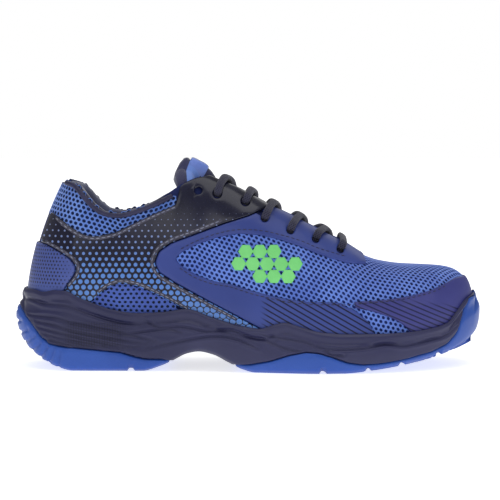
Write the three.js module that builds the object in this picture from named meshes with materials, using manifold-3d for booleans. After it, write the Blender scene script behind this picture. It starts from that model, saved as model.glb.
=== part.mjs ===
// Court shoe, right foot, as a graded pattern: every outline below is drawn for one pattern
// size and graded to the shoe's own length, width and height. Millimetres, +Z up, toe at +X,
// outer (lateral) side at -Y, ground at Z = 0.
import * as THREE from 'three';
import { mergeVertices } from 'three/addons/utils/BufferGeometryUtils.js';
import Module from 'manifold-3d';

const wasm = await Module();
wasm.setup();

// ---------------------------------------------------------------- driving sizes
const LENGTH = 295;          // heel to toe, over the rubber
const WIDTH = 110;           // across the forefoot, over the sole
const HEIGHT = 134;          // ground to the top of the tongue

const GAP = 0.3;             // clearance between pieces that touch
const FABRIC = 1.6;          // outer textile of the upper
const OVERLAY = 1.2;         // fused film, saddle, heel panel and toe cap
const PRINT = 0.6;           // raised print on the vamp
const STIFFENER = 1.5;       // heel counter and toe puff
const LINING = 0.8;          // inner textile
const COLLAR_PAD = 6.3;      // foam round the ankle
const LIP = 1.8;             // midsole wall at its top line
const RUBBER = 3.4;          // outsole thickness
const GROOVE_WIDTH = 3;      // flex grooves across the outsole
const GROOVE_DEPTH = 1.8;
const BOARD = 1.8;           // lasting board under the foot
const SOCKLINER = 5;         // removable insole
const INSERT = 5;            // cushion discs in the midsole
const SHANK = 2;             // arch plate
const THROAT = 25;           // opening between the two rows of eyelets
const EYELET_RADIUS = 2.8;
const LACE = 3;              // lace, as a round cord
const TONGUE_PAD = 5;        // tongue under the lace
const TONGUE_TOP_PAD = 11;   // tongue at its padded top
const TONGUE_SKIN = 0.8;

// ---------------------------------------------------------------- grading
const PATTERN_LENGTH = 295;
const PATTERN_WIDTH = 110;
const PATTERN_HEIGHT = 134;
const GX = LENGTH / PATTERN_LENGTH;
const GY = WIDTH / PATTERN_WIDTH;
const GZ = HEIGHT / PATTERN_HEIGHT;

// smooth curve through (x, value) pairs that never overshoots them
function through(...pairs) {
  const x = pairs.map((p) => p[0]);
  const y = pairs.map((p) => p[1]);
  const rise = x.slice(1).map((_, i) => (y[i + 1] - y[i]) / (x[i + 1] - x[i]));
  const slope = y.map((_, i) => {
    if (i === 0) return rise[0];
    if (i === y.length - 1) return rise[i - 1];
    const a = rise[i - 1];
    const b = rise[i];
    return a * b <= 0 ? 0 : (2 * a * b) / (a + b);
  });
  return (at) => {
    if (at <= x[0]) return y[0];
    if (at >= x[x.length - 1]) return y[y.length - 1];
    const i = x.findIndex((value) => value > at) - 1;
    const h = x[i + 1] - x[i];
    const t = (at - x[i]) / h;
    const s = 1 - t;
    return (
      s * s * (1 + 2 * t) * y[i] +
      t * t * (3 - 2 * t) * y[i + 1] +
      t * s * s * h * slope[i] -
      t * t * s * h * slope[i + 1]
    );
  };
}

// ---------------------------------------------------------------- last (foot form)
// The upper follows a last. Every station runs from the feather line, where the upper meets
// the sole, up to a ridge on the centre line, as part of a superellipse.
const HEEL_X = -140;
const TOE_X = 142;
const HEEL_ROUND = 34;
const TOE_ROUND = 56;
const centre = through(
  [-140, -1.5], [-70, -1.5], [-30, -1.2], [10, -0.8], [45, 0.6], [75, 2.8], [105, 5.5], [147, 9],
);
const halfLateral = through(
  [-140, 30], [-100, 33], [-70, 32], [-30, 34], [10, 42], [45, 47], [75, 47], [105, 43], [142, 36],
);
const halfMedial = through(
  [-140, 30], [-100, 33], [-70, 32], [-30, 31], [10, 38], [45, 44.5], [75, 45.4], [105, 42.6],
  [142, 36],
);
const featherZ = through(
  [-140, 30], [-100, 29], [-70, 27], [-30, 24], [10, 18], [45, 16], [75, 16], [105, 17.5], [142, 21],
);
const ridgeX = through(
  [-140, -75], [-70, -62], [-45, -45], [0, 0], [60, 60], [85, 81], [105, 92], [142, 105],
);
const ridgeZ = through(
  [-140, 200], [-75, 188], [-60, 152], [-45, 132], [-34, 126], [-25, 121.5], [-16, 117.5], [-9, 114.5],
  [0, 109.5], [15, 101], [24, 96.5], [33, 92], [39, 88.5], [47, 84.5], [57, 79], [64, 74.5], [72, 69.5],
  [82, 65.8], [95, 63.5], [142, 61.5],
);
const sideBulge = through(
  [-140, 2.4], [-125, 1.8], [-105, 1.3], [-80, 1], [-60, 0.75], [-45, 0.62], [-20, 0.68], [10, 0.72],
  [45, 0.75], [75, 0.72], [105, 0.65], [142, 0.5],
);
const topBulge = through(
  [-60, 1], [-45, 0.95], [-20, 0.88], [10, 0.8], [45, 0.75], [75, 0.7], [105, 0.6], [142, 0.5],
);

const roundEnd = (d, reach) => (d >= reach ? 1 : Math.sqrt(Math.max(0, 1 - (1 - d / reach) ** 2)));
const stationX = (u) => HEEL_X + ((TOE_X - HEEL_X) * (1 - Math.cos(Math.PI * u))) / 2;
const stationOf = (x) => Math.acos(1 - (2 * (x - HEEL_X)) / (TOE_X - HEEL_X)) / Math.PI;

// point of the last: w runs from the heel (0) to the toe (1 medial, -1 lateral), v from the
// feather line (0) to the ridge (1)
function last(w, v) {
  const wrapped = w > 1 ? w - 2 : w < -1 ? w + 2 : w;
  const side = Math.sign(wrapped) || 1;
  const x = stationX(Math.abs(wrapped));
  const half = side < 0 ? halfLateral(x) : halfMedial(x);
  const round = roundEnd(x - HEEL_X, HEEL_ROUND) * roundEnd(TOE_X - x, TOE_ROUND);
  const y = centre(x) + side * half * round;
  const phi = (Math.min(Math.max(v, 0), 1) * Math.PI) / 2;
  const inward = 1 - Math.max(Math.cos(phi), 0) ** sideBulge(x);
  const upward = Math.sin(phi) ** topBulge(x);
  const rx = ridgeX(x);
  const z = featherZ(x) + upward * (ridgeZ(rx) - featherZ(x));
  return new THREE.Vector3((x + inward * (rx - x)) * GX, (y + inward * (centre(rx) - y)) * GY, z * GZ);
}

function outward(w, v) {
  const h = 0.004;
  const at = Math.min(Math.max(v, h), 1 - h);
  const along = last(w + h, at).sub(last(w - h, at));
  const up = last(w, at + h).sub(last(w, at - h));
  return up.cross(along).normalize();
}

function offLast(w, v, offset) {
  const normal = outward(w, v);
  if (v > 0.999) normal.add(outward(-w, v)).normalize();
  return last(w, v).addScaledVector(normal, offset);
}

// ---------------------------------------------------------------- solids
function toSolid(geometry) {
  const bare = geometry.clone();
  bare.deleteAttribute('normal');
  bare.deleteAttribute('uv');
  const merged = mergeVertices(bare, 1e-4);
  const index = merged.index.array;
  const kept = [];
  for (let i = 0; i < index.length; i += 3) {
    const [a, b, c] = [index[i], index[i + 1], index[i + 2]];
    if (a !== b && b !== c && c !== a) kept.push(a, b, c);
  }
  const vertProperties = new Float32Array(merged.attributes.position.array);
  return new wasm.Manifold(new wasm.Mesh({ numProp: 3, vertProperties, triVerts: new Uint32Array(kept) }));
}

// the largest body of a solid, as a geometry on a 0.001 mm grid
function toGeometry(solid) {
  const bodies = solid.simplify(0.04).decompose();
  const whole = bodies.reduce((a, b) => (a.volume() > b.volume() ? a : b));
  const mesh = whole.getMesh();
  const geometry = new THREE.BufferGeometry();
  geometry.setAttribute('position', new THREE.Float32BufferAttribute(mesh.vertProperties, 3));
  geometry.setIndex([...mesh.triVerts]);
  return geometry;
}

// closed skin between an outer and an inner sheet of points that share one net of quads;
// edges that belong to one quad get a wall, edges that meet are closed
function skin(outer, inner, quads) {
  const key = (p) => `${p.x.toFixed(2)},${p.y.toFixed(2)},${p.z.toFixed(2)}`;
  const seen = new Map();
  const weld = outer.map((p, i) => {
    if (!seen.has(key(p))) seen.set(key(p), i);
    return seen.get(key(p));
  });
  const faces = [];
  for (const [a, b, c, d] of quads) {
    const [i, j, k, l] = [a, b, c, d].map((n) => weld[n]);
    if (i !== j && j !== k && k !== i) faces.push([i, j, k]);
    if (i !== k && k !== l && l !== i) faces.push([i, k, l]);
  }
  const edges = new Map();
  for (const [a, b, c] of faces) {
    for (const [s, e] of [[a, b], [b, c], [c, a]]) edges.set(`${s},${e}`, [s, e]);
  }
  const n = outer.length;
  const index = [];
  for (const [a, b, c] of faces) index.push(a, b, c, a + n, c + n, b + n);
  for (const [s, e] of edges.values()) {
    if (!edges.has(`${e},${s}`)) index.push(s, s + n, e, e, s + n, e + n);
  }
  const geometry = new THREE.BufferGeometry();
  geometry.setFromPoints([...outer, ...inner]);
  geometry.setIndex(index);
  const solid = toSolid(geometry);
  if (solid.volume() > 0) return solid;
  geometry.setIndex(index.map((_, i) => index[i - (i % 3) + 2 - (i % 3)]));
  return toSolid(geometry);
}

function netQuads(columns, rows, start = 0) {
  const quads = [];
  for (let i = 0; i + 1 < columns; i += 1) {
    for (let j = 0; j + 1 < rows; j += 1) {
      const a = start + i * rows + j;
      quads.push([a, a + 1, a + rows + 1, a + rows]);
    }
  }
  return quads;
}

// one layer of the upper, all round the last, between two offsets from it
const STATIONS = 20;
const ROWS = 8;
const rowCrowding = through([-100, 1.7], [-60, 1.4], [-20, 1]);
const rowTop = through([-80, 0.46], [-60, 0.6], [-45, 0.84], [-33, 1]);

function layer(low, high) {
  const outer = [];
  const inner = [];
  const quads = [];
  for (const side of [-1, 1]) {
    quads.push(...netQuads(STATIONS + 1, ROWS + 1, outer.length));
    for (let i = 0; i <= STATIONS; i += 1) {
      const u = i / STATIONS;
      const x = stationX(u);
      for (let j = 0; j <= ROWS; j += 1) {
        const v = (j / ROWS) ** rowCrowding(x) * rowTop(x);
        outer.push(offLast(side * u, v, high));
        inner.push(offLast(side * u, v, low));
      }
    }
  }
  const flipped = quads.map((q, i) => (i < quads.length / 2 ? q : [...q].reverse()));
  return skin(outer, inner, flipped);
}

const PRISM_HALF = 100;

// prism across the shoe from an outline in side view, in pattern millimetres
function sidePrism(points, { grow = 0 } = {}) {
  const graded = points.map(([x, z]) => new THREE.Vector2(x * GX, z * GZ));
  const shape = new THREE.Shape(grow ? grown(graded, grow) : graded);
  const depth = 2 * PRISM_HALF * GY;
  const prism = new THREE.ExtrudeGeometry(shape, { depth, bevelEnabled: false, curveSegments: 1 });
  prism.rotateX(Math.PI / 2);
  prism.translate(0, PRISM_HALF * GY, 0);
  return toSolid(prism);
}

// outline moved outward by a clearance, corner by corner
function grown(points, by) {
  const turn = THREE.ShapeUtils.isClockWise(points) ? -1 : 1;
  return points.map((p, i) => {
    const before = points[(i + points.length - 1) % points.length];
    const after = points[(i + 1) % points.length];
    const into = p.clone().sub(before).normalize();
    const out = after.clone().sub(p).normalize();
    const normal = new THREE.Vector2(into.y + out.y, -(into.x + out.x)).multiplyScalar(turn);
    const stretch = Math.max(1 + into.dot(out), 0.4);
    return p.clone().addScaledVector(normal, by / stretch);
  });
}

// smooth open run of outline points, in pattern millimetres
function run(points, steps = Math.round(points.length * 1.4)) {
  const stops = points.map(([x, z]) => new THREE.Vector3(x, z, 0));
  const curve = new THREE.CatmullRomCurve3(stops, false, 'centripetal');
  return curve.getSpacedPoints(steps).map((p) => [p.x, p.y]);
}

function block(x0, x1, y0, y1, z0, z1) {
  const box = new THREE.BoxGeometry(x1 - x0, y1 - y0, z1 - z0);
  box.translate((x0 + x1) / 2, (y0 + y1) / 2, (z0 + z1) / 2);
  return toSolid(box);
}
const REACH = 400;
const SEAM = GAP / 2;
const lateralHalf = block(-REACH, REACH, -REACH, -SEAM, -REACH, REACH);
const medialHalf = block(-REACH, REACH, SEAM, REACH, -REACH, REACH);

// ---------------------------------------------------------------- outlines in side view
const BELOW = -20;
const ABOVE = 220;
const AFT = -170;
const FORE = 170;
const midsoleTopLine = [
  [-146, 47.5], [-140, 49], [-133.5, 49], [-127, 47.8], [-119.5, 49.2], [-113, 49], [-105, 45],
  [-98.6, 42.5],
  [-86, 38], [-70, 35.5], [-54, 36], [-38.4, 38], [-22.5, 33], [-3.5, 28], [7.3, 26.6], [15.5, 29],
  [22, 30.4],
  [31.4, 28], [44, 24.7], [60, 23.5], [75.8, 23.5], [94.8, 24], [113.8, 26], [124, 29],
];
const topLine = run([
  [-122, 115.5], [-114, 117], [-107, 115], [-100.5, 109], [-95, 103], [-89, 98.5], [-80, 96.8], [-70, 99.2],
  [-60, 103.8], [-50, 110], [-42, 115.5], [-33, 119.5], [-22, 122],
]);
const collarOpening = [[AFT, 117.5], [-128, 116], ...topLine, [-10, 140], [-10, ABOVE], [AFT, ABOVE]];
const meshTop = run([
  [-121, 112.5], [-113, 114.5], [-107.5, 112.5], [-102.5, 106.5], [-97, 100.5], [-90.3, 96.3], [-80, 94.8],
  [-70, 97], [-58, 101.6], [-47, 106.8],
]);
const meshFoot = run([
  [-128, 100], [-120.8, 96.3], [-111, 89.6], [-101.8, 84.6], [-95.4, 83.4], [-82.7, 85.8], [-70, 92],
  [-57.4, 97.8],
  [-46, 102.5],
]);
const collarMeshArea = [[AFT, 101], ...meshFoot, [-44.4, 104.2], ...[...meshTop].reverse(), [AFT, 112.5]];
const collarBandArea = [[AFT, 101], ...meshFoot, [-42, 104], [-30, 125], [-30, ABOVE], [AFT, ABOVE]];

const heelPanelEdge = run([
  [-133, 79], [-126, 77.6], [-117.6, 73.6], [-110, 68.8], [-106.8, 64], [-108, 59.5], [-112.5, 53.5],
  [-115.5, 48],
]);
const heelPanelArea = [[AFT, 81], ...heelPanelEdge, [-117, 40], [-117, BELOW], [AFT, BELOW]];
const saddleRear = run([
  [7.5, 26.5], [-6.7, 34], [-25.7, 43.7], [-44.7, 54], [-55.5, 61], [-58.2, 67], [-55.5, 74], [-47.9, 79.2],
  [-32, 85], [-16, 91], [-0.3, 96], [12, 101.3],
]);
const windowTop = run([
  [-99, 41], [-92, 47.6], [-86, 52], [-79.6, 54], [-70, 52.6], [-60.5, 48.8], [-47.9, 42.5], [-38.4, 37],
]);
const strapArea = [
  [AFT, 81.4], ...heelPanelEdge, [-116.5, 40], [-116, 34], [-101, 34], ...windowTop, [-36, 30], [-10, 22],
  [6, 20], ...saddleRear, [15.5, 103.5], [13, 118], [-10, 135], [-30, 135], [-42, 116],
  ...[...meshFoot].reverse(),
  [AFT, 101],
];
const rearWindowArea = [[-104, 34], [-104, 46], [-95, 58], [-76, 64], [-50, 54], [-33, 40], [-33, 30]];
const ventTop = run([
  [-45.3, 69.5], [-41.5, 73.4], [-32, 78.2], [-19.3, 82.7], [-6.7, 85], [7.3, 84.5], [18.7, 83],
  [31.4, 79.6],
  [40.9, 74.5], [50.4, 72], [60, 69.2], [74, 67],
]);
const ventFoot = run([
  [56, 43.6], [37, 44], [23.8, 45.4], [13, 47.6], [0.3, 50.7], [-11, 54.2], [-22.5, 56], [-33, 59.8],
  [-42, 65.5],
]);
const vampVent = [...ventTop, [90, 67], [110, 44], ...ventFoot];
const saddleArea = [
  ...saddleRear, [15.5, 118], [40, 108], [70, 90], [73.5, 66], [72, 64], [60, 64], [60, 50], [61, 43],
  [66, 38], [74, 31], [78, 22], [70, 14], [20, 14],
];
const toeCapTop = run([
  [56, 43.4], [69.4, 44.2], [85.3, 45.2], [101, 47.2], [113.8, 50], [123.3, 53.6], [130, 56.5],
]);
const toeCapFoot = run([[104, 20], [94.8, 29.2], [88.5, 33.2], [75.8, 37.8], [60, 40.8]]);
const toeCapArea = [...toeCapTop, [FORE, 60], [FORE, BELOW], [108, BELOW], ...toeCapFoot];

const heelRubberLine = run([
  [-146, 40], [-136.6, 29.8], [-130, 21.6], [-124, 17], [-117.6, 15.5], [-101.8, 14], [-79.6, 12],
  [-70, 8.9],
  [-63.7, 7.6], [-54, 7.4], [-46, 5.5],
]);
const heelRubberArea = [[AFT, 42], ...heelRubberLine, [-43, BELOW], [AFT, BELOW]];
const foreRubberLine = run([
  [-10, 4.2], [-0.3, 5], [12.4, 7.6], [25, 12], [34.5, 14], [42.8, 13.3], [50.4, 10.8], [60, 7],
  [69.4, 5.5],
  [82, 6], [94.8, 7.8], [113.8, 12], [123.3, 15.9], [129.7, 22], [132.8, 29.8], [136, 37.5], [139, 44],
]);
const foreRubberArea = [[-13, BELOW], ...foreRubberLine, [142, 48], [FORE, 52], [FORE, BELOW]];

// ---------------------------------------------------------------- upper
const BASE = [-FABRIC, 0];
const OVER = [GAP, GAP + OVERLAY];
const MARK = [GAP, GAP + PRINT];
const UNDER = -FABRIC - GAP;
const STIFF = [UNDER - STIFFENER, UNDER];
const LINED = [STIFF[0] - GAP - LINING, STIFF[0] - GAP];
const PAD = [UNDER - COLLAR_PAD, UNDER];
const PAD_LINED = [PAD[0] - GAP - LINING, PAD[0] - GAP];

// slot along the centre line for the tongue, with a round front end
function throatSlot(width = THROAT) {
  const half = width / 2;
  const front = 64;
  const outline = [];
  const side = (s) => [-70, -40, -10, 15, 35, front - width * 0.6].map((x) => [x, centre(x) + s * half]);
  outline.push(...side(-1));
  outline.push([front - 4, centre(front) - half * 0.66], [front, centre(front)]);
  outline.push([front - 4, centre(front) + half * 0.66]);
  outline.push(...side(1).reverse());
  const shape = new THREE.Shape(outline.map(([x, y]) => new THREE.Vector2(x * GX, y * GY)));
  const prism = new THREE.ExtrudeGeometry(shape, { depth: ABOVE * GZ, bevelEnabled: false });
  prism.translate(0, 0, 60 * GZ);
  return toSolid(prism);
}

// eyelets as stations along the shoe and heights in side view, front to back
const EYELETS = [
  [57, 75.3], [41.5, 81.8], [25.7, 87.2], [9.8, 94.6], [-2.2, 104.5], [-19.7, 109.2], [-31.4, 111.5],
];

// parameter pair of the point of the last that side view shows at (x, z)
function onLast(x, z) {
  let low = 0;
  let high = 1;
  const height = (u) => {
    const sx = stationX(u);
    const foot = featherZ(sx);
    const share = Math.min(Math.max((z - foot) / (ridgeZ(ridgeX(sx)) - foot), 0), 1);
    return (Math.asin(share ** (1 / topBulge(sx))) * 2) / Math.PI;
  };
  for (let i = 0; i < 40; i += 1) {
    const u = (low + high) / 2;
    if (last(u, height(u)).x < x * GX) low = u;
    else high = u;
  }
  return [low, height(low)];
}

function eyeletCutter(side) {
  return EYELETS.map(([x, z]) => {
    const [u, v] = onLast(x, z);
    const cylinder = new THREE.CylinderGeometry(EYELET_RADIUS, EYELET_RADIUS, 9, 9);
    const turn = new THREE.Quaternion().setFromUnitVectors(new THREE.Vector3(0, 1, 0), outward(side * u, v));
    cylinder.applyQuaternion(turn);
    const at = last(side * u, v);
    cylinder.translate(at.x, at.y, at.z);
    return toSolid(cylinder);
  }).reduce((a, b) => a.add(b));
}

const opening = sidePrism(collarOpening);
const slot = throatSlot();
const eyelets = { lateral: eyeletCutter(-1), medial: eyeletCutter(1) };
const allEyelets = eyelets.lateral.add(eyelets.medial);
const base = layer(...BASE).subtract(slot).subtract(allEyelets).subtract(opening);
const over = layer(...OVER).subtract(slot).subtract(allEyelets).subtract(opening);
const half = { lateral: lateralHalf, medial: medialHalf };
const rearOfVamp = [
  [-51.5, BELOW], [-51.5, 92], [-44, 103], [-40, 125], [-40, ABOVE], [AFT, ABOVE], [AFT, BELOW],
];

const rearOfTongue = [[AFT, BELOW], [-56, BELOW], [-56, ABOVE], [AFT, ABOVE]];

function vamp() {
  return base.subtract(sidePrism(rearOfVamp, { grow: GAP }));
}

function quarter(side) {
  const rear = base.intersect(sidePrism(rearOfVamp)).subtract(sidePrism(collarBandArea, { grow: GAP }));
  return rear.intersect(half[side]);
}

function collarMesh() {
  return base.intersect(sidePrism(collarMeshArea));
}

function toplineBinding() {
  const roll = layer(PAD_LINED[0], 0).subtract(slot).subtract(opening);
  const band = roll.intersect(sidePrism(collarBandArea)).intersect(sidePrism(rearOfTongue));
  const below = [[AFT, BELOW], [AFT, 112.5], ...meshTop, [-43.4, 104.5], [0, 100], [0, BELOW]];
  return band.subtract(sidePrism(below, { grow: GAP }));
}

function collarPad() {
  const under = [
    [AFT, 88], [-120, 86], [-100, 76], [-80, 78], [-60, 90], [-50, 97], [-47, 104.5],
    ...[...meshTop].reverse(), [AFT, 112.5],
  ];
  return layer(...PAD).intersect(sidePrism(under, { grow: -GAP })).intersect(sidePrism(rearOfTongue));
}

function collarLining() {
  const under = [
    [AFT, 82], [-120, 80], [-100, 70], [-80, 72], [-60, 86], [-50, 95], [-47, 104.5],
    ...[...meshTop].reverse(), [AFT, 112.5],
  ];
  return layer(...PAD_LINED).intersect(sidePrism(under, { grow: -GAP })).intersect(sidePrism(rearOfTongue));
}

function heelPanel() {
  return over.intersect(sidePrism(heelPanelArea, { grow: -GAP / 2 }));
}

function strap(side) {
  return over.intersect(sidePrism(strapArea, { grow: -GAP })).intersect(half[side]);
}

function rearWindow(side) {
  const panel = over.intersect(sidePrism(rearWindowArea)).subtract(sidePrism(strapArea));
  return panel.intersect(half[side]);
}

function saddle(side) {
  const frame = over.intersect(sidePrism(saddleArea)).subtract(sidePrism(strapArea));
  const open = frame.subtract(sidePrism(vampVent)).subtract(sidePrism(toeCapArea, { grow: GAP }));
  return open.intersect(half[side]);
}

function toeCap() {
  return over.intersect(sidePrism(toeCapArea));
}

// raised print: a patch of joined hexagon cells
function honeycomb(side) {
  const cell = 5;
  const across = cell * Math.sqrt(3);
  const middle = [11, 66.5];
  const places = [
    [-2, 0], [-1, 0], [0, 0], [1, 0], [2, 0],
    [-1.5, 0.866], [-0.5, 0.866], [0.5, 0.866],
    [-0.5, -0.866], [0.5, -0.866], [1.5, -0.866],
  ];
  const cells = places.map(([i, j]) => {
    const hex = Array.from({ length: 6 }, (_, k) => {
      const turn = (Math.PI / 3) * k + Math.PI / 6;
      const reach = cell * 1.01;
      return [
        middle[0] + across * i + reach * Math.cos(turn),
        middle[1] + across * j + reach * Math.sin(turn),
      ];
    });
    return sidePrism(hex);
  });
  return layer(...MARK).intersect(cells.reduce((a, b) => a.add(b))).intersect(half[side]);
}

function heelCounter() {
  const area = [[AFT, 72], [-125, 72], [-105, 66], [-88, 52], [-80, 34], [-80, 32.6], [AFT, 32.6]];
  return layer(...STIFF).intersect(sidePrism(area));
}

function toePuff() {
  const area = [[FORE, 52], [122, 50], [104, 44], [96, 34], [96, 24.5], [FORE, 24.5]];
  return layer(...STIFF).intersect(sidePrism(area));
}

function quarterLining(side) {
  const area = [
    [AFT, 68], [-125, 68], [-100, 62], [-60, 72], [-20, 72], [30, 52],
    [58, 40], [58, 24], [10, 26], [-60, 33], [AFT, 36],
  ];
  return layer(...LINED).intersect(sidePrism(area)).intersect(half[side]);
}

// ---------------------------------------------------------------- sole
const soleLateral = through(
  [-147.5, 33], [-100, 37.5], [-70, 38], [-35, 40], [10, 49], [45, 55.6], [70, 54.6], [105, 48],
  [147.5, 38],
);
const soleMedial = through(
  [-147.5, 33], [-100, 37.5], [-70, 36.5], [-35, 35], [10, 44.5], [45, 51.4], [75, 52.2], [105, 48.5],
  [147.5, 38],
);
const groundZ = through(
  [-147.5, 24], [-142, 16], [-136, 11], [-127, 5.5], [-118, 1.8], [-109, 0], [-66, 0], [-55, 3],
  [-47, 6.6], [-38, 11],
  [-31, 12.2], [-22, 10.4], [-13, 6], [-4, 1.8], [4, 0], [58, 0], [76, 1.6], [95, 4.2], [114, 7.6],
  [128, 11.5],
  [139, 16.5], [147.5, 22],
);
const widestZ = through(
  [-147.5, 34], [-120, 22], [-90, 17], [-40, 24], [20, 11], [90, 14], [120, 20], [147.5, 36],
);
const midsoleTopZ = through(...midsoleTopLine);
const toeLipZ = through([124, 29], [130, 36], [137, 43], [147.5, 46.5]);
const soleTopZ = (x) => (x > 124 ? toeLipZ(x) : midsoleTopZ(x));
const SOLE_STATIONS = 24;
const SOLE_HEEL = -PATTERN_LENGTH / 2;
const SOLE_TOE = PATTERN_LENGTH / 2;

function soleRim(side, u, inset) {
  const x = SOLE_HEEL + ((SOLE_TOE - SOLE_HEEL) * (1 - Math.cos(Math.PI * u))) / 2;
  const halfWidth = side < 0 ? soleLateral(x) : soleMedial(x);
  const round = roundEnd(x - SOLE_HEEL, 38) * roundEnd(SOLE_TOE - x, 60);
  const rim = new THREE.Vector2(x * GX, (centre(x) + side * halfWidth * round) * GY);
  const spineX = Math.min(Math.max(x, -104), 84);
  const toSpine = new THREE.Vector2(spineX * GX, centre(spineX) * GY).sub(rim);
  return rim.addScaledVector(toSpine.normalize(), inset);
}

// top line of the sole: outside the last, at the height of the midsole's lip
function soleLip(side, u, reach) {
  const x = SOLE_HEEL + ((SOLE_TOE - SOLE_HEEL) * (1 - Math.cos(Math.PI * u))) / 2;
  const z = soleTopZ(x);
  const w = Math.min(Math.max(stationOf(Math.min(Math.max(x, HEEL_X), TOE_X)), 0), 1);
  const sx = stationX(w);
  const foot = featherZ(sx);
  const share = Math.min(Math.max((z - foot) / (ridgeZ(ridgeX(sx)) - foot), 0), 1);
  const v = (Math.asin(share ** (1 / topBulge(sx))) * 2) / Math.PI;
  const p = offLast(side * w, v, reach);
  return new THREE.Vector3(p.x, p.y, z * GZ);
}

const CAVITY = GAP + OVERLAY + GAP;

const ROOM_ROWS = 5;

// places round the plan, out along the lateral side and back along the medial one
function roundLoop(stations) {
  const loop = [];
  for (let i = 0; i <= stations; i += 1) loop.push([-1, i / stations]);
  for (let i = stations - 1; i > 0; i -= 1) loop.push([1, i / stations]);
  return loop;
}

// walls between the rings, joined round the loop
function wallFaces(rings, count) {
  const index = [];
  for (let r = 0; r + 1 < rings; r += 1) {
    for (let i = 0; i < count; i += 1) {
      const a = r * count + i;
      const b = r * count + ((i + 1) % count);
      index.push(a, a + count, b, b, a + count, b + count);
    }
  }
  return index;
}

// a floor or a roof across one ring, from the lateral side to the medial one
function acrossFaces(r, count, stations, turn) {
  const index = [];
  for (let i = 0; i < stations; i += 1) {
    const a = r * count + i;
    const b = a + 1;
    const c = r * count + ((count - i) % count);
    const d = r * count + ((count - i - 1) % count);
    index.push(...(turn ? [a, b, d, a, d, c] : [a, d, b, a, c, d]));
  }
  return index;
}

// closed solid through a stack of rings
function ringStack(rings, stations) {
  const count = rings[0].length;
  const index = [
    ...wallFaces(rings.length, count),
    ...acrossFaces(0, count, stations, true),
    ...acrossFaces(rings.length - 1, count, stations, false),
  ];
  const geometry = new THREE.BufferGeometry().setFromPoints(rings.flat());
  geometry.setIndex(index);
  const solid = toSolid(geometry);
  if (solid.volume() > 0) return solid;
  geometry.setIndex(index.map((_, i) => index[i - (i % 3) + 2 - (i % 3)]));
  return toSolid(geometry);
}

// the sole's outer form, or a copy moved inward by a wall thickness
function soleForm(wall = 0) {
  const rings = [];
  const loop = roundLoop(SOLE_STATIONS);
  const ring = (make) => rings.push(loop.map(([side, u]) => make(side, u)));
  const level = (inset, height) => ring((side, u) => {
    const p = soleRim(side, u, inset + wall);
    return new THREE.Vector3(p.x, p.y, height(p.x / GX) * GZ + (rings.length < 3 ? wall : 0));
  });
  level(5.5, groundZ);
  level(1.8, (x) => groundZ(x) + 2.6);
  level(0, (x) => Math.max(widestZ(x), groundZ(x) + 6));
  ring((side, u) => {
    const rim = rings[2][loop.findIndex(([s, t]) => s === side && t === u)];
    return rim.clone().lerp(soleLip(side, u, CAVITY + LIP - wall), 0.55);
  });
  ring((side, u) => soleLip(side, u, CAVITY + LIP - wall));
  return ringStack(rings, SOLE_STATIONS);
}

// room that the sole leaves for the upper and what is inside it
function lastRoom(offset, floor) {
  const rings = [];
  const loop = roundLoop(STATIONS);
  for (let j = -1; j <= ROOM_ROWS; j += 1) {
    rings.push(loop.map(([side, u]) => {
      const x = stationX(u);
      const v = (Math.max(j, 0) / ROWS) ** rowCrowding(x) * rowTop(x);
      const p = offLast(side * u, v, offset);
      if (j < 0) p.z = (featherZ(x) - floor) * GZ;
      return p;
    }));
  }
  return ringStack(rings, STATIONS);
}

const sole = soleForm();
const room = lastRoom(CAVITY, GAP);

function outsole(area, grooves) {
  const zone = sole.intersect(sidePrism(area));
  const cuts = grooves.map((x) => {
    const z = groundZ(x) * GZ;
    const rear = x * GX - GROOVE_WIDTH / 2;
    return block(rear, rear + GROOVE_WIDTH, -REACH, REACH, z - 10, z + GROOVE_DEPTH);
  });
  return cuts.reduce((a, b) => a.subtract(b), zone.subtract(soleForm(RUBBER)).subtract(room));
}

const FORE_GROOVES = [45, 73, 94, 118];
const HEEL_GROOVES = [-73];
const HEEL_DISC = { x: -98, half: [24, 20] };
const FORE_DISC = { x: 45, half: [24, 30] };
const SHANK_RUN = [-62, 2];

function disc({ x, half: [a, b] }, top, height, spare) {
  const cylinder = new THREE.CylinderGeometry(1, 1, height, 32);
  cylinder.rotateX(Math.PI / 2);
  cylinder.scale(a * GX + spare, b * GY + spare, 1);
  cylinder.translate(x * GX, centre(x) * GY, top - height / 2);
  return toSolid(cylinder);
}

const discTop = (x, reach) => Math.min(featherZ(x - reach), featherZ(x + reach), featherZ(x)) * GZ - 2 * GAP;

function cushion(place) {
  return disc(place, discTop(place.x, place.half[0]), INSERT, 0);
}

function cushionPocket(place) {
  const top = discTop(place.x, place.half[0]);
  return disc(place, top + 20, INSERT + 20 + GAP, GAP);
}

function shankBody(spare) {
  const middle = (x) => ((groundZ(x) + featherZ(x)) / 2 + 0.5) * GZ;
  const upper = [];
  const lower = [];
  for (let i = 0; i <= 10; i += 1) {
    const x = SHANK_RUN[0] + ((SHANK_RUN[1] - SHANK_RUN[0]) * i) / 10;
    upper.push(new THREE.Vector2(x * GX, middle(x) + SHANK / 2 + spare));
    lower.push(new THREE.Vector2(x * GX, middle(x) - SHANK / 2 - spare));
  }
  upper[0].x -= spare;
  lower[0].x -= spare;
  upper[10].x += spare;
  lower[10].x += spare;
  const depth = 36 * GY + 2 * spare;
  const outline = new THREE.Shape([...upper, ...lower.reverse()]);
  const plate = new THREE.ExtrudeGeometry(outline, { depth, bevelEnabled: false });
  plate.rotateX(Math.PI / 2);
  plate.translate(0, centre(-30) * GY + depth / 2, 0);
  return toSolid(plate);
}

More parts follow.
